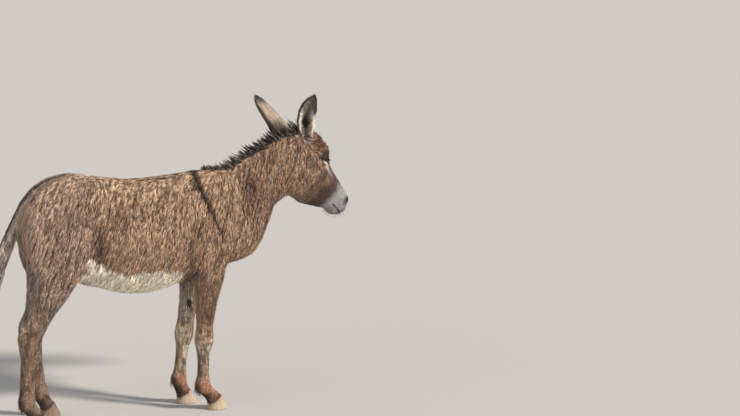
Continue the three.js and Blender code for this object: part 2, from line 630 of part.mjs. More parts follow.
// Each part of a leg: its name, the planes it is cut to above and below, its lowest and highest level for
// the net, and the net's cells.
const legParts = {
  fore: [
    { part: "forearm", under: forelegCut, over: kneeTop, span: [340, 680], cell: [32, 29, 46] },
    { part: "cannon", under: kneeTop, over: fetlockTop, span: [136, 392], cell: [19, 19, 38] },
    { part: "pastern", under: fetlockTop, span: [24, 170], cell: [19, 18, 21] },
  ],
  hind: [
    { part: "thigh", over: gaskinTop, span: [530, 950], cell: [46, 41, 50] },
    { part: "gaskin", under: gaskinTop, over: hockTop, span: [420, 590], cell: [29, 26, 38] },
    { part: "cannon", under: hockTop, over: fetlockTop, span: [136, 466], cell: [21, 19, 38] },
    { part: "pastern", under: fetlockTop, span: [24, 170], cell: [19, 18, 21] },
  ],
};
const reachX = { forearm: 130, thigh: 230, gaskin: 110, cannon: 100, pastern: 80 };
const REACH_IN = 20; // past the middle plane
const REACH_OUT = 230;
const NEARBY = 60; // joints this far above or below a net still count in its width
for (const { kind, side, sign, joints } of legs) {
  for (const { part, under, over, span, cell } of legParts[kind]) {
    const levels = Object.values(joints).filter((j) => j.z >= span[0] - NEARBY && j.z <= span[1] + NEARBY);
    const xs = levels.map((j) => j.x);
    const low = vec(Math.min(...xs) - reachX[part], sign > 0 ? -REACH_IN : -REACH_OUT, span[0]);
    const high = vec(Math.max(...xs) + reachX[part], sign > 0 ? REACH_OUT : REACH_IN, span[1]);
    let solid = above(netOver(animal, low, high, cell), plane(vec(0, 0, 0), vec(0, sign, 0)));
    if (under) solid = below(solid, under);
    if (over) solid = above(solid, over);
    if (part === "pastern") solid = above(solid, coronetCut(joints.hoof));
    if (part === "thigh") for (const cut of [flankCut, haunchCut(sign)]) solid = above(solid, cut);
    add(`${part}_${kind}_${side}`, solid, COLOURS.coat);
  }
  add(`hoof_${kind}_${side}`, hoofSolid(joints.hoof), COLOURS.hoof, HORN);
}

// The origin is on the floor, under the middle of the whole animal.
const bounds = new THREE.Box3().setFromObject(root);
root.position.set(-(bounds.min.x + bounds.max.x) / 2, -(bounds.min.y + bounds.max.y) / 2, -bounds.min.z);

export default root;
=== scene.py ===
import math

import bpy
import numpy as np
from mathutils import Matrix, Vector
from mathutils.bvhtree import BVHTree
from mathutils.kdtree import KDTree


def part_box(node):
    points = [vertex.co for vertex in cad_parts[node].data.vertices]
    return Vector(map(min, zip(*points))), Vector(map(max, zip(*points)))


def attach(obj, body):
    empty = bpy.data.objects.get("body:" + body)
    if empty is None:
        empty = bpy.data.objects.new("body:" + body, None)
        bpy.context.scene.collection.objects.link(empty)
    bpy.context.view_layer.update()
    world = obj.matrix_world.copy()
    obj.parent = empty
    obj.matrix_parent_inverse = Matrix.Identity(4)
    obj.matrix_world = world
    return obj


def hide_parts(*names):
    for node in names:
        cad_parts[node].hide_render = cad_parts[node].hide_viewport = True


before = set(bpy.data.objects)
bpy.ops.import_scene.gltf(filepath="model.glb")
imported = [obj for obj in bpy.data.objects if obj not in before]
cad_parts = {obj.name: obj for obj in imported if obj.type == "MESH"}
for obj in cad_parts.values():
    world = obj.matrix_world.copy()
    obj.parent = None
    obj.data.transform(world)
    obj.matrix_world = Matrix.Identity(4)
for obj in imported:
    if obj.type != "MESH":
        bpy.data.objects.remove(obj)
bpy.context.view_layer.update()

# ---- Camera -------------------------------------------------------------------------------------------
# A long lens a little above the back, standing well behind the shoulder on the animal's right. The animal
# fills the left of the frame.
CAMERA_PLACE = (-2.5794, -8.0913, 2.12)
CAMERA_TURN, CAMERA_DIP = math.radians(-23.5), math.radians(8.1675)
LENS_LENGTH, FILM_WIDTH = 93.9, 36  # millimetres


def add_object(name, data):
    made = bpy.data.objects.new(name, data)
    bpy.context.collection.objects.link(made)
    return made


lens = bpy.data.cameras.new("camera")
lens.sensor_width = FILM_WIDTH
lens.lens = LENS_LENGTH
camera = add_object("camera", lens)
camera.location = CAMERA_PLACE
camera.rotation_euler = (math.pi / 2 - CAMERA_DIP, 0, CAMERA_TURN)
bpy.context.scene.camera = camera

# ---- Skin: the form -----------------------------------------------------------------------------------
# The hide of the whole animal, drawn over the filled form in one piece. It is made from copies of the
# solids, melted together, and sits inside them by the depth of the coat, which is shaved in here.
LEG_KINDS = ("forearm", "cannon", "pastern", "gaskin")
LEGS = [f"{part}_{pair}_{side}" for side in ("left", "right") for part, pair in (
    ("forearm", "fore"), ("cannon", "fore"), ("pastern", "fore"),
    ("thigh", "hind"), ("gaskin", "hind"), ("cannon", "hind"), ("pastern", "hind"))]
FLESH = ["trunk", "neck", "head", "ear_left", "ear_right", "tail_dock"] + LEGS
UNDER_SKIN = FLESH + ["eye_left", "eye_right"]
MELT_SIZE = 0.004  # of the faces of the melted form
PART_GAP = 0.0008  # the solids swell by this to close the thin cuts between them
BODY_FACES = 0.26  # the share of its faces that the skin keeps, where the body needs fewer
EYE_TO_BRIDGE = (0.003, 0.047)  # from between the eyes, down the nose and out of the forehead
NOSE_DROP = math.radians(52)
# How deep the coat is on each part, and down the face, where it gets shorter to almost nothing at the lips.
COAT_DEPTH = {
    "trunk": 0.013, "neck": 0.012, "head": 0.006, "ear": 0.0018, "tail_dock": 0.009, "forearm": 0.006,
    "cannon": 0.004, "pastern": 0.0035, "thigh": 0.010, "gaskin": 0.007, "eye": 0.003,
}
FACE_DEPTH = ([-0.19, -0.09, -0.02, 0.06, 0.14, 0.20, 0.26],
              [0.011, 0.009, 0.0065, 0.0045, 0.003, 0.0016, 0.001])


def smooth(value, low, high):
    """0 below low, 1 above high, eased."""
    t = np.clip((value - low) / (high - low), 0, 1)
    return t * t * (3 - 2 * t)


def fade(value, low, high):
    """1 below low, 0 above high, eased."""
    return 1 - smooth(value, low, high)


def hump(value, middle, half):
    """1 at the middle, dying away on both sides of it."""
    return np.exp(-(((value - middle) / half) ** 2))


def unit(v):
    return v / np.maximum(np.linalg.norm(v, axis=-1, keepdims=True), 1e-9)


def dot(a, b):
    return np.einsum("ij,ij->i", a, b)


def read(collection, name, width=3, kind=np.float32):
    values = np.empty(len(collection) * width, kind)
    collection.foreach_get(name, values)
    return values.reshape(-1, width) if width > 1 else values


def read_triangles(mesh):
    mesh.calc_loop_triangles()
    return read(mesh.loop_triangles, "vertices", 3, np.int32)


def shell_of(name):
    """A solid's points and triangles."""
    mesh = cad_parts[name].data
    return read(mesh.vertices, "co").astype(np.float64), read_triangles(mesh)


def middle_of(name):
    return np.array(sum(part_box(name), Vector())) / 2


def kind_of(name):
    return name if name.startswith("tail") else name.split("_")[0]


def tree_of(points, faces):
    return BVHTree.FromPolygons(points.tolist(), faces.tolist(), all_triangles=True)


def select_only(*objects):
    bpy.ops.object.select_all(action="DESELECT")
    for each in objects:
        each.select_set(True)
    bpy.context.view_layer.objects.active = objects[0]


def edit_whole(operation, **how):
    """Runs an edit on all of the active mesh."""
    bpy.ops.object.mode_set(mode="EDIT")
    bpy.ops.mesh.select_all(action="SELECT")
    operation(**how)
    bpy.ops.object.mode_set(mode="OBJECT")


def melted(nodes, name, cell, swell):
    """One closed piece round copies of these solids."""
    copies = [add_object("copy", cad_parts[node].data.copy()) for node in nodes]
    for copy in copies:
        copy.data.materials.clear()
    select_only(*copies)
    if len(copies) > 1:
        bpy.ops.object.join()
    edit_whole(bpy.ops.mesh.remove_doubles, threshold=1e-5)
    piece = bpy.context.object
    piece.name = piece.data.name = name
    push = piece.modifiers.new("swell", "DISPLACE")
    push.strength = swell
    push.mid_level = 0
    melt = piece.modifiers.new("melt", "REMESH")
    melt.mode = "VOXEL"
    melt.voxel_size = cell
    for modifier in ("swell", "melt"):
        bpy.ops.object.modifier_apply(modifier=modifier)
    return piece


class Surface:
    """The points of a mesh as arrays, with their normals and the means over their neighbours."""

    def __init__(self, piece):
        self.mesh = piece.data
        self.points = read(self.mesh.vertices, "co").astype(np.float64)
        self.edges = read(self.mesh.edges, "vertices", 2, np.int32)
        self.neighbours = np.bincount(self.edges.ravel(), minlength=len(self.points)).astype(float)

    def normals(self):
        self.mesh.vertices.foreach_set("co", self.points.astype(np.float32).ravel())
        self.mesh.update()
        return read(self.mesh.vertex_normals, "vector").astype(np.float64)

    def around(self, values):
        a, b = self.edges.T
        n = len(values)
        total = [np.bincount(a, c[b], n) + np.bincount(b, c[a], n) for c in values.reshape(n, -1).T]
        return (np.array(total) / np.maximum(self.neighbours, 1)).T.reshape(values.shape)

    def spread(self, values, times):
        for _ in range(times):
            values = 0.5 * values + 0.5 * self.around(values)
        return values

    def rub(self, times, share=1.0):
        """Takes flats and edges down without making the form thinner."""
        for _ in range(times):
            for stroke in (0.5, -0.52):
                self.points += stroke * share * (self.around(self.points) - self.points)


# Each point of a surface is told which solid it came from by the nearest face of the solids.
shells = [shell_of(name) for name in UNDER_SKIN]
shell_starts = np.cumsum([0] + [len(points) for points, _ in shells[:-1]])
solid_tree = tree_of(np.concatenate([points for points, _ in shells]),
                     np.concatenate([faces + start for (_, faces), start in zip(shells, shell_starts)]))
face_part = np.repeat(np.arange(len(shells)), [len(faces) for _, faces in shells])
part_kinds = np.array([kind_of(name) for name in UNDER_SKIN])


def parts_at(points):
    return face_part[[solid_tree.find_nearest(Vector(p))[2] for p in points.tolist()]]


skin = melted(UNDER_SKIN, "skin", MELT_SIZE, PART_GAP)
surface = Surface(skin)
kind = part_kinds[parts_at(surface.points)]
is_ear = (kind == "ear").astype(float)
surface.rub(22, (1 - 0.75 * surface.spread(is_ear, 8))[:, None])

# The head's own directions: down the nose, out of the forehead, and across to the animal's right.
eye_middle = {side: middle_of(f"eye_{side}") for side in ("left", "right")}
across = unit(eye_middle["right"] - eye_middle["left"])
ahead = np.array((-across[1], across[0], 0))
down_nose = ahead * math.cos(NOSE_DROP) - np.array((0, 0, math.sin(NOSE_DROP)))
off_brow = ahead * math.sin(NOSE_DROP) + np.array((0, 0, math.cos(NOSE_DROP)))
head_axes = np.array((down_nose, off_brow, across))
head_middle = sum(eye_middle.values()) / 2 + EYE_TO_BRIDGE[0] * down_nose + EYE_TO_BRIDGE[1] * off_brow


def on_head(points):
    return (points - head_middle) @ head_axes.T


def from_head(down, out, right):
    return head_middle + np.array((down, out, right)) @ head_axes


depth = np.where(np.isin(kind, ("head", "eye")), np.interp(on_head(surface.points)[:, 0], *FACE_DEPTH),
                 [COAT_DEPTH[k] for k in kind])
depth = np.where(is_ear > 0, COAT_DEPTH["ear"], surface.spread(depth, 40))
surface.points -= surface.spread(depth, 3)[:, None] * surface.normals()
surface.points = surface.spread(surface.points, 1)
surface.normals()

# The body needs fewer faces than the head and ears, whose folds are finer.
coarse = skin.vertex_groups.new(name="coarse")
coarse_share = surface.spread((~np.isin(kind, ("head", "ear", "eye"))).astype(float), 6)
for level in range(1, 5):
    inside = np.nonzero(coarse_share > (level - 0.5) / 4)[0]
    coarse.add(inside.tolist(), level / 4, "REPLACE")
select_only(skin)
thin = skin.modifiers.new("thin", "DECIMATE")
thin.ratio = BODY_FACES
thin.vertex_group = "coarse"
bpy.ops.object.modifier_apply(modifier="thin")
skin.vertex_groups.clear()

# ---- Skin: lids, nostrils and lips --------------------------------------------------------------------
# Round the eyes, nostrils and mouth the hide is modelled by hand in the clay: thick lids rolled onto the
# glass eye, a comma-shaped nostril with a raised rim, and the parting of the lips.
EYE_RADIUS = 0.0178
EYE_SINK = 0.0025  # the glass sits this much deeper than the solid
LID_TURN = math.radians(25)  # the slit rises by this from the line of the nose
SLIT_HALF = 0.88  # half the slit's length, as a share of the radius
UPPER_LID, LOWER_LID = 0.30, -0.40  # how far each lid is open
NOSTRIL = (0.247, -0.050, 0.043)  # on the head's own directions, for the right one
NOSTRIL_LEAN = 0.5
MOUTH_FRONT, MOUTH_CORNER = (0.290, -0.107), (0.212, -0.116)
MOUTH_SLOPE = (MOUTH_FRONT[1] - MOUTH_CORNER[1]) / (MOUTH_FRONT[0] - MOUTH_CORNER[0])
eyes = {}
for side, sign in (("left", -1), ("right", 1)):
    out = unit(sign * across + 0.30 * off_brow + 0.12 * down_nose)
    along = math.cos(LID_TURN) * down_nose + math.sin(LID_TURN) * off_brow
    along = unit(along - out * (along @ out))
    up = np.cross(out, along)
    up *= np.sign(up @ off_brow)
    eyes[side] = (eye_middle[side] - EYE_SINK * out, np.array((along, up, out)))


def refine(middle, reach):
    """Splits the faces within reach of a point."""
    near = np.linalg.norm(read(skin.data.polygons, "center") - middle, axis=1) < reach
    skin.data.vertices.foreach_set("select", np.zeros(len(skin.data.vertices), bool))
    skin.data.edges.foreach_set("select", np.zeros(len(skin.data.edges), bool))
    skin.data.polygons.foreach_set("select", near)
    bpy.ops.object.mode_set(mode="EDIT")
    bpy.ops.mesh.select_mode(type="FACE")
    bpy.ops.mesh.subdivide(number_cuts=1, smoothness=0.6)
    bpy.ops.object.mode_set(mode="OBJECT")


for middle, _ in eyes.values():
    for reach in (0.042, 0.032):
        refine(middle, reach)
for sign in (1, -1):
    for reach in (0.034, 0.026):
        refine(from_head(NOSTRIL[0], NOSTRIL[1], sign * NOSTRIL[2]), reach)
for share in (0.1, 0.9):
    down, out = np.array(MOUTH_FRONT) * (1 - share) + np.array(MOUTH_CORNER) * share
    refine(from_head(down, out, 0), 0.036)
surface = Surface(skin)


def lid_lines(along):
    """Where the edges of the upper and the lower lid are, at shares of half the slit's length."""
    arch = np.sqrt(1 - along * along)
    return UPPER_LID * arch * (1 + 0.15 * along), LOWER_LID * arch * (1 + 0.25 * along)


def lid_distance(points, side):
    """How far outside the slit between the lids a point lies, seen from the middle of the eye, with its
    place along and across the slit, whether it is in front, and its distance from the middle."""
    middle, axes = eyes[side]
    q = (points - middle) @ axes.T
    r = np.linalg.norm(q, axis=1)
    x, y, z = (q / np.maximum(r, 1e-9)[:, None]).T
    upper, lower = lid_lines(np.clip(x / SLIT_HALF, -1, 1))
    beyond = np.abs(x) - SLIT_HALF
    d = np.where(beyond > 0, np.hypot(beyond, y), np.maximum(y - upper, lower - y)) * EYE_RADIUS
    return np.where(z < 0, EYE_RADIUS * 1.5, d), x, y, z, r


for side, (middle, axes) in eyes.items():
    d, x, y, z, r = lid_distance(surface.points, side)
    near = (r < 0.045) & (z > 0)
    # points by the edge of a lid move onto it, so that it runs clean
    upper, lower = lid_lines(np.clip(x / SLIT_HALF, -1, 1))
    edge = near & (d > -0.0010) & (d < 0.0006) & (np.abs(x) < SLIT_HALF * 0.97)
    y = np.where(edge, np.where(y > (upper + lower) / 2, upper, lower), y)
    d = np.where(edge, 0, d)
    # a rolled edge, the lid's swell, the crease round it and a second, fainter crease
    lid = EYE_RADIUS + 0.0003 + 0.0026 * smooth(d, -0.0001, 0.0022)
    lid += np.where(y > 0, 0.0010, 0.0004) * smooth(d, 0.002, 0.006)
    lid -= np.where(y > 0, 0.0017, 0.0010) * hump(d, 0.0085, 0.0016)
    lid -= 0.0007 * hump(d, 0.0135, 0.0014)
    away = smooth(d, 0.008, 0.021)
    reach = np.where(d < 0, EYE_RADIUS * 0.80, lid * (1 - away) + r * away)
    z = np.sqrt(np.maximum(1 - x * x - y * y, 1e-6)) * np.sign(z)
    moved = middle + (np.stack((x, y, z), 1) * reach[:, None]) @ axes
    surface.points = np.where(near[:, None], moved, surface.points)

normals = surface.normals()
hu, hv, hw = on_head(surface.points).T
# nostrils: a slanting comma, hollow behind a rolled rim
du, dv = hu - NOSTRIL[0], hv - NOSTRIL[1]
comma_length = dv * math.cos(NOSTRIL_LEAN) - du * math.sin(NOSTRIL_LEAN)
comma_width = du * math.cos(NOSTRIL_LEAN) + dv * math.sin(NOSTRIL_LEAN) + 18 * comma_length**2 - 0.001
oval = np.hypot(comma_length / 0.0145, comma_width / np.where(comma_length > 0, 0.0050, 0.0070))
by_nostril = (np.abs(hw) > 0.012) & (np.abs(du) < 0.035) & (np.abs(dv) < 0.035)
shift = 0.0022 * hump(oval, 1.45, 0.33) - 0.013 * smooth(1.12 - oval, 0, 0.75)
surface.points += np.where(by_nostril, shift, 0)[:, None] * normals
# lips: parted by a groove that sinks between them and dies away at the corners
from_line = hv - MOUTH_CORNER[1] - MOUTH_SLOPE * (hu - MOUTH_CORNER[0]) + 0.0012 * np.sin((hu - 0.2) * 60)
parted = smooth(hu, MOUTH_CORNER[0] - 0.006, MOUTH_CORNER[0] + 0.012) * (hu > 0.19)
parted *= np.abs(from_line) < 0.02
groove = 0.0055 * hump(from_line, 0, 0.0019) - 0.0018 * hump(np.abs(from_line), 0.006, 0.003)
surface.points -= (parted * groove)[:, None] * normals
surface.normals()
skin.data.polygons.foreach_set("use_smooth", np.ones(len(skin.data.polygons), bool))

# ---- Skin: colours ------------------------------------------------------------------------------------
# The markings, which the skin and the hair that grows from it share: brown on the body, cream below, with
# a thin line down the back, a cross over the shoulders, a pale muzzle and pale rings under the eyes.
# With them goes painted light: shade in folds, hollows and gaps, under the brows, and a highlight on the
# back.


def paint(red, green, blue):
    """A colour as mixed on a palette, 0 to 255, as light."""
    c = np.array((red, green, blue)) / 255
    return np.where(c <= 0.04045, c / 12.92, ((c + 0.055) / 1.055) ** 2.4)


BROWN, TAN, DARK = paint(173, 141, 113), paint(192, 161, 132), paint(84, 61, 50)
GREY_BROWN, NECK_BROWN = paint(176, 151, 131), paint(156, 126, 103)
CREAM, NEAR_BLACK, PALE_GREY = paint(246, 236, 216), paint(42, 33, 31), paint(182, 168, 152)
RUST, MUZZLE, RING = paint(140, 95, 71), paint(140, 138, 140), paint(230, 212, 190)
CANNON_TAN, PASTERN_TAN = paint(192, 163, 134), paint(184, 130, 100)
EAR_BACK, EAR_INSIDE = paint(196, 173, 150), paint(134, 122, 106)
# How far forward the cross runs at each height, how wide it is there, and how high the belly's edge is.
CROSS_LINE = ([0.76, 0.817, 0.866, 0.93, 0.976, 1.025, 1.06],
              [0.182, 0.158, 0.134, 0.108, 0.089, 0.077, 0.080])
CROSS_WIDTH = ([0.76, 0.88, 0.97, 1.07], [0.007, 0.0095, 0.0115, 0.0145])
BELLY_LINE = ([-0.52, -0.47, -0.43, -0.38, -0.335, -0.24, -0.12, -0.016, 0.06, 0.16],
              [0.600, 0.700, 0.725, 0.695, 0.662, 0.650, 0.650, 0.640, 0.632, 0.590])
PAINTED_SHADE_PATCHES = (  # painted shade and shadow: place along and up, half size, and share of dark
    ((-0.394, 0.772), (0.032, 0.080), 0.95),  # the flank
    ((0.052, 0.622), (0.024, 0.034), 0.92),  # behind the elbow
    ((0.035, 0.72), (0.020, 0.070), 0.35),
    ((-0.560, 0.74), (0.026, 0.10), 0.35),  # the back of the thigh
    ((0.325, 0.99), (0.040, 0.085), 0.85),  # a painted shadow across the neck
    ((0.30, 0.90), (0.034, 0.060), 0.40),
)
WHORL = -0.012  # where the hair of the forehead parts, down the nose from the head's middle


def drift(points, size, seed):
    """A slow random change over the body, about -1 to 1."""
    luck = np.random.default_rng(seed)
    waves = luck.normal(size=(12, 3)) / size * 2.2
    return np.sin(points @ waves.T + luck.uniform(0, 6.28, 12)).sum(1) / 3.4


def ear_hole(high, forward):
    """1 in the hollow of an ear, which lies at a third of its height; the dark there is painted shade."""
    return fade(np.abs(high - 0.34) / 0.19 + np.abs(forward - 0.05) / 0.62, 0.70, 1.05)


def mark_body(tint, p, n, kinds, inner):
    x, y, z = p.T
    leg = np.isin(kinds, LEG_KINDS)
    body = np.isin(kinds, ("trunk", "thigh", "neck"))
    # a painted highlight: lighter where the coat faces up along the top of the back
    tint(TAN, 0.65 * smooth(n[:, 2], 0.25, 0.85) * smooth(z, 0.90, 1.02))
    tint(GREY_BROWN, 0.85 * smooth(-x, 0.36, 0.50) * smooth(z, 0.36, 0.46))
    tint(NECK_BROWN, 0.80 * smooth(x, 0.22, 0.36) * smooth(z, 0.55, 0.75))
    tint(DARK, 0.26 * smooth(drift(p, 0.11, 3), 0.1, 1.0) * (body | leg))
    # belly, the inside of the thighs and between the forelegs
    edge = np.interp(x, *BELLY_LINE) + 0.005 * drift(p, 0.05, 5)
    under = fade(z, edge - 0.008, edge + 0.010) * smooth(z, 0.50, 0.53)
    in_fold = (kinds == "thigh") * smooth(x, -0.476, -0.456) * fade(np.abs(y), 0.110, 0.130)
    under *= np.maximum(kinds == "trunk", in_fold)
    under *= 1 - smooth(x, -0.02, 0.01) * smooth(np.abs(y), 0.045, 0.06)
    tint(CREAM, under)
    tint(PALE_GREY, 0.75 * inner * smooth(z, 0.50, 0.58) * (kinds == "thigh"))
    tint(PALE_GREY, 0.75 * inner * leg)
    # painted shade in the folds and a painted shadow across the neck, kept off the belly's cream
    for place, size, share in PAINTED_SHADE_PATCHES:
        fold = hump(x, place[0], size[0]) * hump(z, place[1], size[1])
        tint(DARK, share * fold * smooth(np.abs(y), 0.03, 0.07) * (1 - under))
    # the line down the back and the cross over the shoulders
    tint(DARK, 0.85 * fade(np.abs(y), 0.006, 0.013) * smooth(n[:, 2], 0.5, 0.8) * (x < 0.16) * body)
    off_cross = np.abs(x - np.interp(z, *CROSS_LINE) - 0.002 * drift(p, 0.04, 8))
    half = np.interp(z, *CROSS_WIDTH)
    tint(NEAR_BLACK, 0.92 * fade(off_cross, half * 0.8, half * 1.5) * smooth(z, 0.745, 0.785) * body)


def mark_legs(tint, p, n, kinds, inner):
    """Mottled and barred, paler below the knee, reddish at the pastern and dark at the heel."""
    leg, fore = np.isin(kinds, LEG_KINDS), p[:, 0] > -0.2
    z = p[:, 2] + 0.006 * drift(p, 0.03, 11)
    tint(CANNON_TAN, 0.8 * leg * fade(z, 0.30, 0.42))
    flecks = smooth(drift(p * (1, 1, 0.25), 0.016, 14), 0.2, 0.9)
    tint(CREAM, 0.45 * flecks * leg * fore * smooth(z, 0.13, 0.17) * fade(z, 0.34, 0.40))
    bars = smooth(np.sin(z * 210 + 1.2 * drift(p, 0.04, 12)), 0.35, 0.95) * smooth(np.abs(n[:, 1]), 0.2, 0.8)
    tint(DARK, 0.45 * bars * leg * smooth(z, 0.24, 0.30) * fade(z, 0.50, 0.58))
    mottles = smooth(drift(p * (1, 1, 0.5), 0.020, 13), 0.25, 0.9)
    tint(DARK, 0.65 * mottles * leg * fade(z, 0.42, 0.50))
    tint(PASTERN_TAN, 0.85 * leg * fade(z, 0.12, 0.16) * fore)
    tint(DARK, 0.45 * leg * fade(z, 0.30, 0.40) * ~fore)
    tint(DARK, 0.75 * leg * fade(z, 0.064, 0.090))
    heel = smooth(-n[:, 0], 0.25, 0.8)
    tint(NEAR_BLACK, 0.85 * leg * heel * fade(z, 0.115, 0.135))
    tint(DARK, 0.5 * leg * heel * fade(z, 0.22, 0.30))
    chestnut = np.hypot((p[:, 0] - np.where(p[:, 1] > 0, 0.076, 0.090)) / 0.013, (p[:, 2] - 0.462) / 0.022)
    tint(NEAR_BLACK, fade(chestnut, 0.75, 1.1) * leg * fore * (inner > 0.3))


def mark_tail(tint, p, n, kinds):
    dock = kinds == "tail_dock"
    tint(PALE_GREY, 0.8 * dock)
    along_top = fade(np.abs(p[:, 1] + 0.004), 0.006, 0.016) * smooth(n[:, 2] - n[:, 0], 0.2, 0.7)
    tint(NEAR_BLACK, 0.85 * dock * along_top)
    tint(NEAR_BLACK, 0.75 * dock * fade(p[:, 2] + 0.02 * drift(p, 0.01, 23), 0.66, 0.74))


def mark_face(tint, p, head):
    """A rusty brow with a whorl, darker down the nose, and a dark lower face round the jaw that is partly
    painted shade.
    """
    hu, hv, hw = on_head(p).T
    tint(BROWN, 0.45 * head * smooth(hu, -0.13, -0.08) * fade(hu, 0.06, 0.12))
    tint(DARK, 0.45 * head * smooth(drift(p, 0.035, 17), 0.2, 1.0))
    stray = 0.012 * drift(p, 0.03, 19)
    brow = head * fade(hu + stray, -0.025, 0.055) * smooth(hu + stray, -0.18, -0.09)
    brow *= smooth(hv + stray, -0.080, -0.022)
    tint(RUST, 0.88 * brow)
    tint(DARK, 0.30 * brow * smooth(drift(p, 0.02, 18), 0.1, 0.9))
    tint(DARK, 0.75 * brow * hump(np.hypot(hu - WHORL, hw), 0, 0.007))
    tint(DARK, 0.50 * head * hump(hu, -0.035, 0.028) * hump(hv, -0.045, 0.016))
    tint(DARK, 0.80 * head * smooth(hu, 0.015, 0.06) * smooth(hv, -0.036, -0.012))
    # a dark band over the lower face, partly its own colour and partly painted shade
    tint(DARK, 0.85 * head * smooth(hu, 0.080, 0.130))
    tint(NEAR_BLACK, 0.35 * head * smooth(hu, 0.125, 0.160))
    behind_eye = smooth(hu, -0.19, -0.16) * fade(hu, -0.135, -0.105)
    tint(PALE_GREY, 0.7 * head * behind_eye * smooth(np.abs(hw), 0.02, 0.05) * smooth(hv, -0.09, -0.05))


def mark_eyes(tint, p, head):
    """A pale ring under each eye, painted shade under the brow over it, and dark lids and corners."""
    for name in eyes:
        d, ex, ey, ez, r = lid_distance(p, name)
        by_eye = head * (ez > 0) * (r < 0.05)
        low = smooth(-ey + 0.25 * ex, -0.05, 0.45)
        tint(RING, 0.95 * by_eye * low * fade(d, 0.0055, 0.0105) * (d > 0.001))
        # painted shade under the brow, over the eye
        tint(DARK, 0.7 * by_eye * (1 - low) * fade(d, 0.010, 0.016))
        tint(NEAR_BLACK, by_eye * fade(d, 0.0014, 0.0026 + 0.002 * (1 - low)))
        tint(NEAR_BLACK, 0.85 * by_eye * fade(np.abs(ey + 0.02), 0.06, 0.16) * fade(np.abs(ex), 1.15, 1.45))


def mark_muzzle(tint, p, head):
    """The pale streak from the front of the eye down the nose, the grey muzzle, the nostrils and the lips."""
    hu, hv, hw = on_head(p).T
    off_streak = np.abs(hv + 0.058 - 0.26 * (hu - 0.015))
    streak = smooth(hu, 0.010, 0.022) * fade(hu, 0.085, 0.125) * fade(off_streak, 0.005, 0.012)
    tint(RING, 0.9 * head * streak * smooth(np.abs(hw), 0.035, 0.05))
    pale_from = 0.168 + 0.10 * np.clip(-hv - 0.05, -0.02, 0.1) + 0.005 * drift(p, 0.02, 21)
    pale_from += 0.004 * drift(p, 0.006, 22)
    tint(MUZZLE, 0.95 * head * smooth(hu, pale_from - 0.012, pale_from + 0.016))
    tint(NEAR_BLACK * 1.6, 0.60 * head * smooth(hu, 0.245, 0.290))
    on_muzzle = head * smooth(hu, 0.175, 0.195)
    tint(PALE_GREY, 0.30 * on_muzzle * smooth(drift(p, 0.010, 31), 0.1, 1.0))
    tint(DARK, 0.20 * on_muzzle * smooth(drift(p, 0.006, 32), 0.2, 1.0))
    hole = np.hypot((hu - NOSTRIL[0]) / 0.014, (hv - NOSTRIL[1]) / 0.018)
    tint(NEAR_BLACK * 2, 0.80 * head * (np.abs(hw) > 0.01) * fade(hole, 0.6, 2.0))
    off_lips = np.abs(hv - MOUTH_CORNER[1] - MOUTH_SLOPE * (hu - MOUTH_CORNER[0]))
    tint(NEAR_BLACK * 1.5, 0.7 * head * (hu > 0.205) * fade(off_lips, 0.002, 0.006))


def mark_ears(tint, ear, rim, inside, high, forward):
    """Pale behind, grey inside with its hollow painted dark as shade, dark tip and edges, a pale fringe low
    in front.
    """
    tint(EAR_BACK, ear * (1 - inside))
    tint(RUST, 0.45 * ear * (1 - inside) * fade(high, 0.05, 0.35))
    tint(EAR_INSIDE, ear * inside)
    tint(CREAM, 0.65 * ear * inside * smooth(np.abs(forward), 0.25, 0.6) * fade(high, 0.50, 0.70))
    # painted shade in the hollow and on the floor of the cup
    tint(NEAR_BLACK * 0.7, ear * inside * np.maximum(ear_hole(high, forward), high < 0.03))
    edge = ear * smooth(rim, 0.12, 0.40)
    fringe = smooth(forward, 0.0, 0.4) * fade(high, 0.40, 0.55)
    tint(CREAM, 0.85 * edge * fringe)
    tint(NEAR_BLACK, 0.92 * edge * (1 - fringe))
    tint(NEAR_BLACK, 0.90 * ear * (1 - inside) * smooth(-forward, 0.60, 0.85) * smooth(high, 0.08, 0.2))
    tint(NEAR_BLACK, 0.88 * ear * smooth(high, 0.78, 0.92) * (1 - 0.5 * inside))


def markings(p, n, kinds, ear_where):
    """The coat's colour at points p that face along n, from the part of each and its place on an ear."""
    colour = np.tile(BROWN, (len(p), 1))

    def tint(with_colour, share):
        colour[:] = colour + (with_colour - colour) * np.clip(share, 0, 1)[:, None]

    inner = smooth(-n[:, 1] * np.sign(p[:, 1]), 0.05, 0.5)
    mark_body(tint, p, n, kinds, inner)
    mark_legs(tint, p, n, kinds, inner)
    mark_tail(tint, p, n, kinds)
    head = np.isin(kinds, ("head", "eye")) * 1.0
    mark_face(tint, p, head)
    mark_eyes(tint, p, head)
    mark_muzzle(tint, p, head)
    mark_ears(tint, (kinds == "ear") * 1.0, *ear_where.T)
    return colour


def sliced(values, low, high, count):
    """Which of count even slices from low to high each value falls in."""
    return np.clip(np.digitize(values, np.linspace(low, high, count + 1)) - 1, 0, count - 1)


def follow(at, keys, line):
    """The points of a line at these places, where keys says the place of each point it is drawn by."""
    return np.stack([np.interp(at, keys, column) for column in line.T], -1)


part = parts_at(surface.points)
kind = part_kinds[part]
normals = surface.normals()
triangles = read_triangles(skin.data)
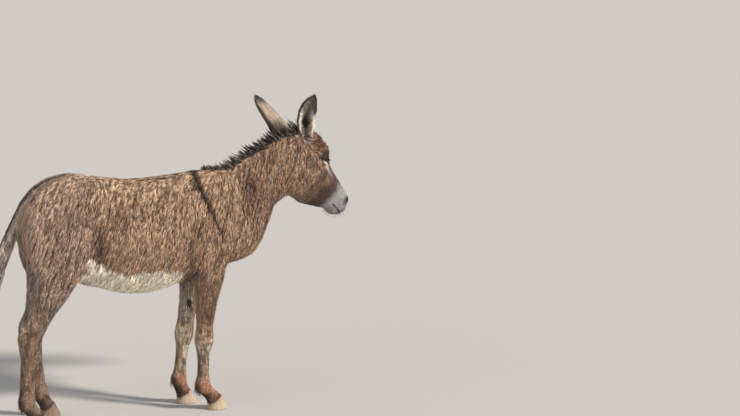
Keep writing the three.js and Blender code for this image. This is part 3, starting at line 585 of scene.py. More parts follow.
# For each point of an ear: whether it is at the rim, inside the cup, how high up and how far ahead it is.
EAR_SLICES = 8
CUP_REACH = 0.020  # how far from the ear's line the floor of its cup goes
CUP_ACROSS = 0.07  # the other wall of the cup is nearer than this
ear_where = np.zeros((len(part), 4))
ear_lines = {}
for name in ("ear_left", "ear_right"):
    mine = part == FLESH.index(name)
    low, high = (c.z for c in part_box(name))
    own = surface.points[mine]
    slices = sliced(own[:, 2], low, high, EAR_SLICES)
    line = ear_lines[name] = np.array([own[slices == k].mean(0) for k in range(EAR_SLICES)])
    off = own - follow(own[:, 2], line[:, 2], line)
    high_up = (own[:, 2] - low) / (high - low)
    # low in the cup a point is inside if it faces the cup's other wall
    ear_tree = tree_of(surface.points, triangles[mine[triangles].all(1)])
    walled = np.array([ear_tree.ray_cast(Vector(p + 0.001 * d), Vector(d), CUP_ACROSS)[0] is not None
                       for p, d in zip(own, normals[mine])])
    faces_out = np.zeros(len(part))
    faces_out[mine] = np.where(walled & (high_up < 0.6), -1, np.sign(dot(normals[mine], off * (1, 1, 0))))
    faces_out = np.sign(surface.spread(faces_out, 4))
    lead = off @ ahead
    most_ahead = np.array([np.abs(lead[slices == k]).max() for k in range(EAR_SLICES)])
    ear_where[mine] = np.stack((
        1 - np.abs(surface.spread(faces_out, 9))[mine], faces_out[mine] < 0, high_up,
        lead / np.interp(own[:, 2], line[:, 2], most_ahead)), 1)
    # the floor of the cup is part of the head, but it counts as the inside of the ear
    stem = unit(line[1] - line[0])
    from_base = surface.points - line[0]
    up_stem = from_base @ stem
    aside = np.linalg.norm(from_base - up_stem[:, None] * stem, axis=1)
    cup_floor = ~mine & (up_stem > -0.012) & (aside < CUP_REACH)
    ear_where[cup_floor] = (0, 1, 0.02, 0)
    kind = np.where(cup_floor, "ear", kind)
ear_rim, ear_inner, ear_height, ear_ahead = ear_where.T
skin_colour = markings(surface.points, normals, kind, ear_where)


class Wire:
    """A socket in a material, so that shader maths reads as sums."""

    def __init__(self, tree, socket):
        self.tree, self.socket = tree, socket

    def node(self, kind, settings=(), **inputs):
        made = self.tree.nodes.new(kind)
        for name, value in dict(settings).items():
            setattr(made, name, value)
        for name, value in inputs.items():
            spot = made.inputs[int(name[1:])] if name[0] == "_" else made.inputs[name.replace("_", " ")]
            if isinstance(value, Wire):
                self.tree.links.new(value.socket, spot)
            else:
                spot.default_value = value
        return made

    def out(self, made, name=0):
        return Wire(self.tree, made.outputs[name])

    def maths(self, operation, *values):
        inputs = {f"_{k}": value for k, value in enumerate(values)}
        return self.out(self.node("ShaderNodeMath", {"operation": operation}, **inputs))

    def __add__(self, other):
        return self.maths("ADD", self, other)

    def __mul__(self, other):
        return self.maths("MULTIPLY", self, other)

    __radd__ = __add__
    __rmul__ = __mul__

    def between(self, low, high):
        """0 below low, 1 above high, eased."""
        settings = {"interpolation_type": "SMOOTHSTEP"}
        return self.out(self.node("ShaderNodeMapRange", settings, Value=self, From_Min=low, From_Max=high))

    def mix(self, colour, share):
        """This colour, with a share of another."""
        return self.out(self.node("ShaderNodeMix", {"data_type": "RGBA"}, _0=share, _6=self, _7=colour), 2)

    def times(self, factor):
        """This colour, lighter or darker."""
        return self.out(self.node("ShaderNodeVectorMath", {"operation": "SCALE"}, _0=self, Scale=factor))

    def plain(self, colour):
        """A new wire with one even colour."""
        made = self.out(self.node("ShaderNodeRGB"))
        made.socket.default_value = (*colour, 1)
        return made

    def stored(self, name, output):
        """A new wire with what store() put on the mesh."""
        return self.out(self.node("ShaderNodeAttribute", {"attribute_name": name}), output)

    def feeds(self, shader, socket):
        self.tree.links.new(self.socket, shader.inputs[socket])


def material(name, roughness, specular, **constants):
    """A new material with its shader's even values set, and a wire to start from."""
    made = bpy.data.materials.new(name)
    made.use_nodes = True
    tree = made.node_tree
    shader = next(n for n in tree.nodes if n.type == "BSDF_PRINCIPLED")
    shader.inputs["Roughness"].default_value = roughness
    shader.inputs["Specular IOR Level"].default_value = specular
    for socket, value in constants.items():
        shader.inputs[socket.replace("_", " ")].default_value = value
    start = Wire(tree, None)
    place = start.out(start.node("ShaderNodeTexCoord"), "Object")
    return made, shader, place


def noise(place, scale, detail=3.0, roughness=0.6, stretch=None):
    if stretch:
        place = place.out(place.node("ShaderNodeMapping", Vector=place, Scale=stretch))
    made = place.node("ShaderNodeTexNoise", Vector=place, Scale=scale, Detail=detail, Roughness=roughness)
    return place.out(made)


def relief(shader, height, strength, distance):
    bump = height.node("ShaderNodeBump", Height=height, Strength=strength, Distance=distance)
    height.out(bump).feeds(shader, "Normal")


def store(mesh, name, values):
    """Puts a value or a colour on each point of a mesh."""
    width = 1 if values.ndim == 1 else values.shape[1]
    layer = mesh.attributes.new(name, {1: "FLOAT", 3: "FLOAT_VECTOR", 4: "FLOAT_COLOR"}[width], "POINT")
    layer.data.foreach_set({1: "value", 3: "vector", 4: "color"}[width], values.astype(np.float32).ravel())


hide, shader, place = material("hide under the coat", 0.7, 0.25)
grain = noise(place, 260, 2.0)
# the hide is darker than the markings, painted shade in the gaps between the locks, over a fine grain
place.stored("marking", "Color").times(0.70 + 0.35 * grain).feeds(shader, "Base Color")
(0.55 + 0.25 * grain).feeds(shader, "Roughness")
relief(shader, grain + 0.4 * noise(place, 900, 1.0), 0.5, 0.0012)
skin.data.materials.append(hide)
store(skin.data, "marking", np.hstack((skin_colour, np.ones((len(skin_colour), 1)))))
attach(skin, "root")
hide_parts(*FLESH)

# ---- Skin: its unwrap ---------------------------------------------------------------------------------
# The hide is cut and laid flat as a tanner would: a belly-cut barrel, neck and face, a strip off each leg,
# the dock, and the inside and outside of each ear.
FLATS = {  # left, bottom, right, top of each cut in the flat
    "trunk": (0.005, 0.005, 0.595, 0.615), "neck": (0.605, 0.005, 0.995, 0.295),
    "head": (0.605, 0.305, 0.995, 0.615), "tail_dock": (0.855, 0.625, 0.925, 0.995),
    "ear_left outside": (0.695, 0.625, 0.765, 0.805), "ear_right outside": (0.775, 0.625, 0.845, 0.805),
    "ear_left inside": (0.695, 0.815, 0.765, 0.995), "ear_right inside": (0.775, 0.815, 0.845, 0.995),
    "fore left": (0.005, 0.625, 0.165, 0.995), "fore right": (0.175, 0.625, 0.335, 0.995),
    "hind left": (0.345, 0.625, 0.505, 0.995), "hind right": (0.515, 0.625, 0.675, 0.995),
}
flat_names = list(FLATS)


def flat_of(name):
    words = name.split("_")
    if len(words) == 3:
        return f"{words[1]} {words[2]}"
    return "head" if kind_of(name) == "eye" else name


point_flat = np.empty(len(part), int)
for number, name in enumerate(UNDER_SKIN):
    mine = part == number
    if kind_of(name) == "ear":
        point_flat[mine & (ear_inner > 0)] = flat_names.index(name + " inside")
        point_flat[mine & (ear_inner <= 0)] = flat_names.index(name + " outside")
    else:
        point_flat[mine] = flat_names.index(flat_of(name))

# A point's place in its cut is how far it is along and round the line through the cut's middle. For each
# cut that lies along the body: its middle, the line's direction, half its length and its girth.
neck_low, neck_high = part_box("neck")
neck_line = unit(np.array((neck_high.x - neck_low.x, 0.10, 0.75 * (neck_high.z - neck_low.z))))
lying = {
    "trunk": (middle_of("trunk"), np.array((1.0, 0, 0)), 0.48, 0.26),
    "neck": (middle_of("neck"), neck_line, 0.22, 0.16),
    "head": (head_middle + 0.05 * down_nose - 0.09 * off_brow, down_nose, 0.22, 0.10),
}
# For each cut that stands: points down its middle, its bottom and its top.
standing = {}
for number, name in enumerate(flat_names):
    if name not in lying:
        own = surface.points[point_flat == number]
        low, high = own[:, 2].min(), own[:, 2].max()
        slices = sliced(own[:, 2], low, high, 7)
        standing[name] = (np.array([own[slices == k].mean(0) for k in np.unique(slices)]), low, high)


def along_and_round(points, name):
    """0 to 1 along a cut's middle line, and the turn round it in turns."""
    if name in lying:
        middle, axis, half, girth = lying[name]
        aside = unit(np.cross(axis, (0, 1.0, 0)))
        q = points - middle
        b, c = q @ aside, q @ np.cross(axis, aside)
        share = np.arctan2(q @ axis / half, np.hypot(b, c) / girth) / math.pi + 0.5
        return share, np.arctan2(c, b) / math.tau
    line, bottom, top = standing[name]
    q = points[:, :2] - follow(points[:, 2], line[:, 2], line[:, :2])
    return (points[:, 2] - bottom) / (top - bottom), np.arctan2(q[:, 1], q[:, 0]) / math.tau


def lay_flat(points, cut, about=None):
    """Where points lie on the flat, those of one face all on the same side of the seam."""
    result = np.empty((len(points), 2))
    for number in np.unique(cut):
        name, mine = flat_names[number], cut == number
        share, turn = along_and_round(points[mine], name)
        if about is not None:
            own = along_and_round(about[mine], name)[1]
            turn = own + (turn - own + 0.5) % 1 - 0.5
        spill = 0.005 if name in lying else 0.02
        share, turn = np.clip(share, 0, 1), np.clip(turn + 0.5, -spill, 1 + spill)
        u, v = (share, turn) if name in lying else (turn, share)
        left, bottom, right, top = FLATS[name]
        result[mine] = np.stack((left + (right - left) * u, bottom + (top - bottom) * v), 1)
    return result


loop_point = read(skin.data.loops, "vertex_index", 1, np.int32)
face_loops = read(skin.data.polygons, "loop_total", 1, np.int32)
face_of_loop = np.repeat(np.arange(len(face_loops)), face_loops)
face_middle = read(skin.data.polygons, "center").astype(np.float64)
face_cut = point_flat[loop_point[read(skin.data.polygons, "loop_start", 1, np.int32)]]
flat_loops = lay_flat(surface.points[loop_point], face_cut[face_of_loop], face_middle[face_of_loop])
skin.data.uv_layers.new(name="OFBake").data.foreach_set("uv", flat_loops.astype(np.float32).ravel())

# ---- Eyes ---------------------------------------------------------------------------------------------
# Glass eyes, blown dark brown with a clear bulging front and a wide flat pupil, set into the sockets from
# behind so that the lids rest on them.
PUPIL = (0.40, 0.17)  # half its width and height, as shares of the radius
BULGE = 0.075  # how far the front stands out, as a share of the radius
EYE_RIM, IRIS_BROWN, PUPIL_BLACK = paint(84, 62, 50), paint(58, 34, 20), paint(9, 8, 10)


def glass_eye(side):
    glass, shader, place = material(f"glass eye {side}", 0.08, 0.35, Coat_Weight=0.35, Coat_Roughness=0.03)
    look = place.stored("gaze", "Vector")
    parts = place.node("ShaderNodeSeparateXYZ", Vector=look)
    gx, gy = place.out(parts, 0), place.out(parts, 1)
    wide, tall = gx * (1 / PUPIL[0]), gy * (1 / PUPIL[1])
    from_middle = gx * gx + gy * gy
    black = place.plain(PUPIL_BLACK)
    colour = place.plain(IRIS_BROWN).times(0.45 + 1.0 * noise(look, 9, 4.0, 0.7))
    colour = black.mix(colour, (wide * wide + tall * tall).between(0.85, 1.35))
    colour = colour.mix(black, from_middle.between(0.30, 0.42))
    colour.mix(place.plain(EYE_RIM), from_middle.between(0.44, 0.58)).feeds(shader, "Base Color")
    return glass


for side, (middle, axes) in eyes.items():
    bpy.ops.object.select_all(action="DESELECT")
    bpy.ops.mesh.primitive_uv_sphere_add(segments=56, ring_count=36, radius=EYE_RADIUS)
    eyeball = bpy.context.object
    eyeball.name = eyeball.data.name = f"eyeball_{side}"
    gaze = read(eyeball.data.vertices, "co").astype(np.float64) / EYE_RADIUS
    gaze = gaze[:, [1, 0, 2]] if side == "left" else gaze
    bulge = 1 + BULGE * fade(np.arccos(np.clip(gaze[:, 2], -1, 1)), 0.30, 0.85)
    placed = middle + (gaze * EYE_RADIUS * bulge[:, None]) @ axes
    eyeball.data.vertices.foreach_set("co", placed.astype(np.float32).ravel())
    edit_whole(bpy.ops.mesh.normals_make_consistent, inside=False)
    bpy.ops.object.shade_smooth()
    store(eyeball.data, "gaze", gaze)
    eyeball.data.materials.append(glass_eye(side))
    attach(eyeball, "root")
    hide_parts(f"eye_{side}")

# ---- Hooves -------------------------------------------------------------------------------------------
# Hollow boxes of horn that grow down from the coronet in rings, narrow and upright as a donkey's are, pale
# in front and darker behind, worn smooth at the ground.
HORN_CELL = 0.0018
RING_COUNT, RING_DEPTH = 8, 0.0003
CORONET_FALL = 0.45  # the top edge falls by this towards the heel, for each metre back
TUCK = 0.10  # the top edge goes in under the hair by this share


def horn(name, pale, dark):
    made, shader, place = material(name, 0.5, 0.4)
    height = place.out(place.node("ShaderNodeSeparateXYZ", Vector=place), 2)
    growth = noise(place, 70, 3.0, 0.6, (1.0, 1.0, 9.0))
    tubes = noise(place, 300, 1.0, 0.5, (1.0, 1.0, 0.05))
    dirt = noise(place, 35, 4.0, 0.65)
    share = growth.between(0.40, 0.75) * 0.25 + tubes.between(0.45, 0.85) * 0.10
    share = share + height.between(0.030, 0.062) * 0.45
    place.plain(pale).mix(place.plain(dark), share).times(0.72 + 0.5 * dirt).feeds(shader, "Base Color")
    (0.42 + 0.3 * dirt).feeds(shader, "Roughness")
    relief(shader, 0.6 * growth + 0.15 * tubes, 0.4, 0.0010)
    return made


horns = {"fore": horn("pale horn", paint(180, 160, 134), paint(104, 82, 64)),
         "hind": horn("dark horn", paint(128, 108, 90), paint(58, 46, 40))}
for pair, finish in horns.items():
    for side in ("left", "right"):
        node = f"hoof_{pair}_{side}"
        toe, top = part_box(node)[1].xz
        hoof = melted([node], f"horn_{pair}_{side}", HORN_CELL, 0.0002)
        form = Surface(hoof)
        form.rub(14)
        out = form.normals()
        x, y, z = form.points.T
        share = np.clip(z / np.maximum(top - (toe - 0.028 - x) * CORONET_FALL, 0.02), 0, 1)
        rings = RING_DEPTH * np.sin(share * RING_COUNT * math.tau + 0.8 * drift(form.points, 0.03, 2))
        rings *= smooth(share, 0.05, 0.3) * fade(np.abs(out[:, 2]), 0.55, 0.8)
        form.points += out * rings[:, None]
        axis = form.points[z > 0.5 * top].mean(0)
        form.points -= TUCK * smooth(share, 0.80, 1.0)[:, None] * (1, 1, 0) * (form.points - axis)
        form.points[:, 2] = np.where(form.points[:, 2] < 0.0012, 0.0, form.points[:, 2])
        form.normals()
        hoof.data.polygons.foreach_set("use_smooth", np.ones(len(hoof.data.polygons), bool))
        hoof.data.materials.append(finish)
        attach(hoof, "root")
        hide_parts(node)

# ---- Coat: how it grows -------------------------------------------------------------------------------
# The hair grows in small locks. It lies back and down over the body, down the legs, and over the face
# from a whorl between the eyes. Each lock's root is under the skin and its point at the coat's surface.
# For each part: length, width and spacing of the locks.
LOCKS = {
    "trunk": (0.056, 0.0028, 0.0047), "neck": (0.046, 0.0027, 0.0044), "thigh": (0.046, 0.0027, 0.0045),
    "gaskin": (0.026, 0.0026, 0.0036), "forearm": (0.022, 0.0024, 0.0033), "cannon": (0.015, 0.0020, 0.0029),
    "pastern": (0.014, 0.0019, 0.0028), "tail_dock": (0.046, 0.0030, 0.0042), "ear": (0.013, 0.0015, 0.0024),
    "head": (0.022, 0.0020, 0.0027), "eye": (0.005, 0.0010, 0.0022),
}
FACE_STEPS = [-0.19, -0.10, -0.02, 0.05, 0.12, 0.18, 0.23, 0.29]  # down the nose
FACE_LOCKS = (
    [0.040, 0.034, 0.027, 0.019, 0.013, 0.008, 0.0040, 0.0035],
    [0.0026, 0.0023, 0.0020, 0.0018, 0.0015, 0.0012, 0.0008, 0.0007],
    [0.0038, 0.0034, 0.0030, 0.0026, 0.0022, 0.0021, 0.0021, 0.0024])
HEIGHTS = ([0.004, 0.012, 0.022, 0.046], [0.0008, 0.0028, 0.0062, 0.0125])  # of the tips, for each length
LIES = {"neck": (-0.42, 0, -0.95), "thigh": (-0.42, 0, -1.0), **{k: (-0.08, 0, -1.0) for k in LEG_KINDS}}
LIES_ELSEWHERE = (-0.36, 0, -1.0)
COAT_MATERIAL = dict(root_shade=0.84, tip_shade=1.54, roughness=0.68, specular=0.18, sheen=0.15)
LOCK_FLATNESS = 0.20  # how thick a lock is, for its width
PER_SHOCK = 4  # clumps that hang together
SQUEEZE = 0.13  # how wide a clump is, for its length along the lie of the hair
ROOT_DEPTH = 0.0012  # under the skin
MOST_DRAWN = 0.012  # sideways, towards the lock that leads its clump or shock
OVER_FLOOR = 0.004  # no tip hangs lower than this
PATCH = 0.003  # the size on the flat of one lock

x, y, z = surface.points.T
hu, hv, hw = on_head(surface.points).T
backwards = -normals[:, 0]
is_face = np.isin(kind, ("head", "eye"))
on_ear, on_dock = kind == "ear", kind == "tail_dock"
by_part = np.array([LOCKS[k] for k in kind]).T
by_part = np.where(is_face, [np.interp(hu, FACE_STEPS, row) for row in FACE_LOCKS], by_part)
blended = np.array([surface.spread(row, 60) for row in by_part])
length, width, spacing = np.where(on_ear | (is_face & (hu > 0)), by_part, blended)
shaggy = np.where(is_face, fade(hu, -0.01, 0.05), np.isin(kind, ("trunk", "neck", "thigh", "tail_dock")))
shaggy = surface.spread(shaggy.astype(float), 40)
# longer on the cheek and under the jaw
length *= 1 + 0.4 * is_face * smooth(-hv, 0.09, 0.16) * fade(hu, 0.06, 0.14)
# fuzz that stands out over the forehead and brows
fuzz = is_face * fade(hu, -0.045, 0.020) * smooth(hv, -0.056, -0.020) * smooth(hu, -0.17, -0.10)
fuzz = surface.spread(fuzz, 34)
height = np.interp(length, *HEIGHTS) + 0.0085 * fuzz
width *= 1 - 0.25 * fuzz
spacing *= 1 - 0.16 * fuzz
# short close round the eyes
eye_gap = np.full(len(part), 0.05)
for name in eyes:
    d, _, _, ez, r = lid_distance(surface.points, name)
    eye_gap = np.where((r < 0.05) & (ez > 0), np.minimum(eye_gap, d), eye_gap)
near_eye = fade(eye_gap, 0.003, 0.022)
length *= 1 - 0.76 * near_eye
width *= 1 - 0.5 * near_eye
spacing *= 1 - 0.3 * near_eye
height *= 1 - 0.85 * near_eye
# a brush of long hair behind each fetlock
brush = np.isin(kind, ("pastern", "cannon")) * smooth(backwards, 0.3, 0.8) * hump(z, 0.118, 0.024)
length *= 1 + 1.6 * brush
height *= 1 + 2.6 * brush
# hair that hangs over the top of the hoof, longest at the heel
length *= 1 + (0.9 + 0.7 * smooth(backwards, 0.0, 0.7)) * (kind == "pastern") * fade(z, 0.075, 0.110)
# a fringe along the front edge of each ear
fringe = on_ear * smooth(ear_rim, 0.15, 0.5) * smooth(ear_ahead, 0.1, 0.5) * fade(ear_height, 0.5, 0.75)
length *= 1 + 1.2 * fringe
# the dock's hair goes over into the long hair of the tail
dock_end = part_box("tail_dock")[0].z
height *= 1 - 0.6 * on_dock * fade(z, dock_end, dock_end + 0.10)

flow = np.array([LIES.get(k, LIES_ELSEWHERE) for k in kind])
steep = smooth(-x, 0.57, 0.74)[:, None]
flow = np.where(on_dock[:, None], (1 - steep) * (-0.8, 0, -0.6) + steep * (-0.3, 0, -1.0), flow)
for name, line in ear_lines.items():
    flow[part == FLESH.index(name)] = line[-1] - line[0]
# the hair of the face sprays out from the whorl and then runs down
off_whorl, off_line = hu - WHORL, 1.2 * hw
from_whorl = np.hypot(off_whorl, off_line)
at_whorl = is_face * hump(from_whorl, 0, 0.036)
height *= 1 - 0.4 * at_whorl
parting = is_face * hump(from_whorl, 0, 0.014) * (hv > -0.05)
length *= 1 - 0.45 * parting
spacing *= 1 - 0.40 * parting
swirl = 1.3 * at_whorl + 0.35 * drift(surface.points, 0.03, 27)
spray = unit(np.stack((off_whorl * np.cos(swirl) - off_line * np.sin(swirl), 0.5 * hv - 0.02,
                       off_whorl * np.sin(swirl) + off_line * np.cos(swirl)), 1))
down_face = np.stack((np.ones(len(hu)), -1.5 * smooth(-hv, 0.04, 0.15), np.zeros(len(hu))), 1)
top = (fade(hu, -0.02, 0.05) * smooth(hv, -0.085, -0.02))[:, None]
flow[is_face] = unit(((spray * top + down_face * (1 - top)) @ head_axes)[is_face])
flow = surface.spread(unit(flow), 10)
flow = surface.spread(np.where(on_ear[:, None], unit(flow), flow), 4)
flow -= normals * dot(flow, normals)[:, None]
flow = unit(surface.spread(unit(flow), 3))
length, width, spacing, height = (surface.spread(v, 5) for v in (length, width, spacing, height))

# No hair grows on the eye, in the nostrils, in the mouth, under the coronets or at the end of the dock.
bare = (eye_gap < 0.0030) | ((normals[:, 2] < -0.6) & (z < 0.075)) | (on_dock & (z < dock_end + 0.035))
bare |= is_face & (np.abs(hw) > 0.012) & (np.hypot((hu - NOSTRIL[0]) / 0.012, (hv - NOSTRIL[1]) / 0.017) < 1)
in_ear = on_ear & (ear_inner > 0)

triangle_face = read(skin.data.loop_triangles, "polygon_index", 1, np.int32)
corners = surface.points[triangles]
areas = np.linalg.norm(np.cross(corners[:, 1] - corners[:, 0], corners[:, 2] - corners[:, 0]), axis=1) / 2
middles = corners.mean(1)
# The faces are taken in the order of a winding walk over the body, so that the roots spread evenly.
cells = np.clip((middles - middles.min(0)) / 0.01, 0, 1023).astype(np.int64)
walk = sum(((cells[:, axis] >> bit) & 1) << (3 * bit + axis) for bit in range(10) for axis in range(3))
in_order = np.argsort(walk, kind="stable")
in_cup = ear_inner[triangles].mean(1) > 0.5
cup_tree, outer_tree = (tree_of(surface.points, triangles[own]) for own in (in_cup, ~in_cup))
chance = np.random.default_rng(7)


class Roots:
    """Where locks grow: their places on the skin and all that the skin knows there."""

    def __init__(self, keep, crowd=1.0, apart=None):
        apart = spacing if apart is None else np.full(len(spacing), apart)
        share = (areas * keep[triangles].mean(1) / apart[triangles].mean(1) ** 2 * crowd)[in_order]
        total = share.sum()
        count = int(total)
        marks = (np.arange(count) + chance.uniform(size=count)) * total / count
        chosen = in_order[np.minimum(np.searchsorted(np.cumsum(share), marks), len(share) - 1)]
        a, b = chance.uniform(size=(2, count))
        flip = a + b > 1
        a, b = np.where(flip, 1 - a, a), np.where(flip, 1 - b, b)
        self.weights = np.stack((1 - a - b, a, b), 1)
        self.corner = triangles[chosen]
        self.place = self.take(surface.points)
        self.normal = unit(self.take(normals))
        self.flow = unit(self.take(flow))
        self.kind = kind[self.corner[np.arange(count), self.weights.argmax(1)]]
        self.ear_where = self.take(ear_where)
        self.length, self.width = self.take(length), self.take(width)
        self.height, self.spacing = self.take(height), self.take(spacing)
        self.shaggy = self.take(shaggy) > chance.uniform(size=count)
        face = triangle_face[chosen]
        self.patch = lay_flat(self.place, face_cut[face], face_middle[face])

    def take(self, values):
        """What the skin has at each root, between the corners of its triangle."""
        return np.einsum("ij,ij...->i...", self.weights, values[self.corner])

    def only(self, mask):
        some = object.__new__(Roots)
        for name, values in self.__dict__.items():
            setattr(some, name, values[mask])
        return some


def over_skin(points, heights, lining):
    """Points moved to heights over the nearest skin, in the cups of the ears or outside, and how it faces."""
    trees = [cup_tree if inside else outer_tree for inside in lining]
    found = [tree.find_nearest(Vector(p)) for tree, p in zip(trees, points.tolist())]
    foot, facing = (np.array(column) for column in zip(*[f[:2] for f in found]))
    return foot + facing * heights[:, None], facing


def grow(name, lines, ups, widths, colours, patches, flatness, slot, finish):
    """One piece of hair: a closed pointed lock along each line of points, a ridge along its back."""
    count, rings = len(lines), lines.shape[1] - 1
    along = unit(lines[:, 1:] - lines[:, :-1])
    side = unit(np.cross(ups[:, :rings], along))
    ridge = np.cross(along, side)
    w, t = widths[:, :rings, None] / 2, (widths * flatness)[:, :rings, None]
    centre = lines[:, :rings]
    ring = np.stack((centre + side * w, centre + ridge * t, centre - side * w), 2)
    points = np.concatenate((ring.reshape(count, rings * 3, 3), lines[:, -1:]), 1)
    faces = [(0, 2, 1)]
    for k in range(0, 3 * (rings - 1), 3):
        for i, j in ((0, 1), (1, 2), (2, 0)):
            faces += [(k + i, k + j, k + 3 + j), (k + i, k + 3 + j, k + 3 + i)]
    last = 3 * (rings - 1)
    faces += [(last, last + 1, last + 3), (last + 1, last + 2, last + 3), (last + 2, last, last + 3)]
    each = points.shape[1]
    index = (np.array(faces)[None] + np.arange(count)[:, None, None] * each).reshape(-1)
    mesh = bpy.data.meshes.new(name)
    mesh.vertices.add(count * each)
    mesh.vertices.foreach_set("co", points.astype(np.float32).ravel())
    mesh.loops.add(len(index))
    mesh.loops.foreach_set("vertex_index", index.astype(np.int32))
    mesh.polygons.add(len(index) // 3)
    mesh.polygons.foreach_set("loop_start", np.arange(0, len(index), 3, dtype=np.int32))
    mesh.update(calc_edges=True)
    mesh.polygons.foreach_set("use_smooth", np.ones(len(index) // 3, bool))
    # across a lock from -1 to 1, and along it from 0 to 1
    aside = np.concatenate((np.tile((-1.0, 0.0, 1.0), rings), [0.0]))
    share = np.linspace(0, 1, rings + 1) if rings > 1 else np.array((0.45, 1.0))
    reach = np.concatenate((np.repeat(share[:-1], 3), [1.0]))
    patch = np.stack((aside * PATCH / 2, (reach - 0.5) * PATCH), 1) + patches[:, None]
    flat = patch.reshape(-1, 2)[index]
    mesh.uv_layers.new(name="OFBake").data.foreach_set("uv", flat.astype(np.float32).ravel())
    store(mesh, "marking", np.repeat(np.hstack((colours, np.ones((count, 1)))), each, 0))
    luck = chance.uniform(size=(count, 1))
    run = np.cumsum(np.linalg.norm(lines[:, 1:] - lines[:, :-1], axis=2), 1)
    run = np.hstack((np.zeros((count, 1)), run))
    run = np.hstack((np.repeat(run[:, :-1], 3, 1), run[:, -1:]))
    strand = np.stack((aside * widths[:, :1] / 2 + 0.05 * luck, run, np.tile(luck, (1, each))), 2)
    store(mesh, "strand", strand.reshape(-1, 3))
    store(mesh, "reach", np.tile(reach, count))
    mesh.materials.append(finish)
    piece = add_object(name, mesh)
    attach(piece, "root")
    return piece


def hair(name, root_shade, tip_shade, roughness, specular, sheen):
    made, shader, place = material(name, roughness, specular, Sheen_Weight=sheen, Sheen_Roughness=0.4)
    fibres = noise(place.stored("strand", "Vector"), 1.0, 1.0, 0.5, (1700, 60, 40))
    cloud = noise(place, 60, 2.0)
    # darker at the root, as painted shade deep in the coat, and lighter at the point, as sun-bleached hair is
    shade = root_shade + (tip_shade - root_shade) * place.stored("reach", "Fac").between(0.0, 0.8)
    shade = shade * (0.82 + 0.36 * fibres) * (0.86 + 0.28 * cloud)
    place.stored("marking", "Color").times(shade).feeds(shader, "Base Color")
    (roughness - 0.12 + 0.24 * fibres).feeds(shader, "Roughness")
    relief(shader, fibres, 0.25, 0.0004)
    return made


def gathered(places, per_group):
    """For each place, the one in its group that leads it."""
    leaders = np.sort(chance.permutation(len(places))[: max(1, len(places) // per_group)])
    tree = KDTree(len(leaders))
    for k, leader in enumerate(leaders):
        tree.insert(Vector(places[leader]), k)
    tree.balance()
    return leaders[np.array([tree.find(Vector(p))[1] for p in places.tolist()])]


def lie_down(roots, per_clump, pull, joints=3, curl=0.04, fan=0.06, uneven=0.15):
    """Lines for locks that lie along the skin, drawn together into clumps and the clumps into shocks."""
    count = len(roots.place)
    side = np.cross(roots.normal, roots.flow)
    lean = unit(roots.flow.mean(0))
    squeezed = roots.place - (1 - SQUEEZE) * (roots.place @ lean)[:, None] * lean
    mine, shock = gathered(squeezed, per_clump), gathered(squeezed, per_clump * PER_SHOCK)
    stray = chance.normal(size=count) * fan + chance.normal(size=count)[mine] * fan
    heading = unit(roots.flow + side * stray[:, None])
    size = roots.length * chance.uniform(0.80, 1.20, count) * chance.uniform(0.85, 1.15, count)[mine]
    off_clump = np.clip(dot(roots.place[mine] - roots.place, side), -MOST_DRAWN, MOST_DRAWN)
    off_shock = dot(roots.place[shock] - roots.place, side)
    shock_half = roots.spacing * math.sqrt(per_clump * PER_SHOCK * SQUEEZE / math.pi)
    at_edge = smooth(np.abs(off_shock) / shock_half, 0.55, 1.1)
    lift = chance.uniform(0.80, 1.12, count)[mine] * (1 - 0.30 * at_edge)
    drawn = off_clump * pull + 0.3 * np.clip(off_shock, -MOST_DRAWN, MOST_DRAWN)
    drawn = side * drawn[:, None]
    end = roots.place + heading * size[:, None] + drawn
    tip_height = roots.height * chance.uniform(0.82, 1.08, count) * lift
    free = end + roots.normal * tip_height[:, None]
    lining = roots.ear_where[:, 1] > 0.5
    end, up_end = over_skin(end, tip_height, lining)
    hangs = np.isin(roots.kind, ("pastern", "ear"))
    off_edge = (hangs & (np.linalg.norm(end - free, axis=1) > 0.35 * size))[:, None]
    end = np.where(off_edge, free, end)
    end[:, 2] = np.maximum(end[:, 2], OVER_FLOOR)
    up_end = np.where(off_edge, roots.normal, up_end)
    foot = roots.place - roots.normal * ROOT_DEPTH
    lines, ups, taper = [foot, end], [roots.normal, up_end], [1.0, 0.0]
    if joints == 3:
        bow = chance.normal(size=count) * curl + chance.normal(size=count)[mine] * curl
        middle = roots.place + heading * (0.45 * size)[:, None] + side * (bow * size)[:, None] + 0.4 * drawn
        middle, up_middle = over_skin(middle, roots.height * 0.74 * lift, lining)
        lines.insert(1, middle)
        ups.insert(1, up_middle)
        taper = [0.8, 1.0, 0.0]
    tone = 1 + uneven * (0.6 * chance.uniform(-1, 1, count)[mine] + 1.3 * chance.uniform(-1, 1, count)[shock])
    tone = tone * chance.uniform(0.92, 1.08, count)
    widths = roots.width[:, None] * np.array(taper) * chance.uniform(0.75, 1.25, (count, 1))
    # a lock takes the colour where its outer half lies; painted shade darkens shock edges, less on pale
    # shocks
    colours = markings(0.4 * foot + 0.6 * end, up_end, roots.kind, roots.ear_where)
    fair = smooth(colours.mean(1), 0.40, 0.70)
    colours = colours * (tone * (1 - 0.46 * (1 - 0.75 * fair) * at_edge))[:, None]
    return np.stack(lines, 1), np.stack(ups, 1), widths, colours


def plant(name, roots, slot, pieces, **how):
    """A stretch of coat, in pieces small enough for a file each."""
    lines, ups, widths, colours = lie_down(roots, **how)
    order = np.argsort(roots.place[:, 0] + 3 * (roots.place[:, 1] > 0), kind="stable")
    for k, mine in enumerate(np.array_split(order, pieces)):
        label = name if pieces == 1 else f"{name}_{k + 1}"
        own = (array[mine] for array in (lines, ups, widths, colours, roots.patch))
        grow(label, *own, LOCK_FLATNESS, slot, coat_hair)


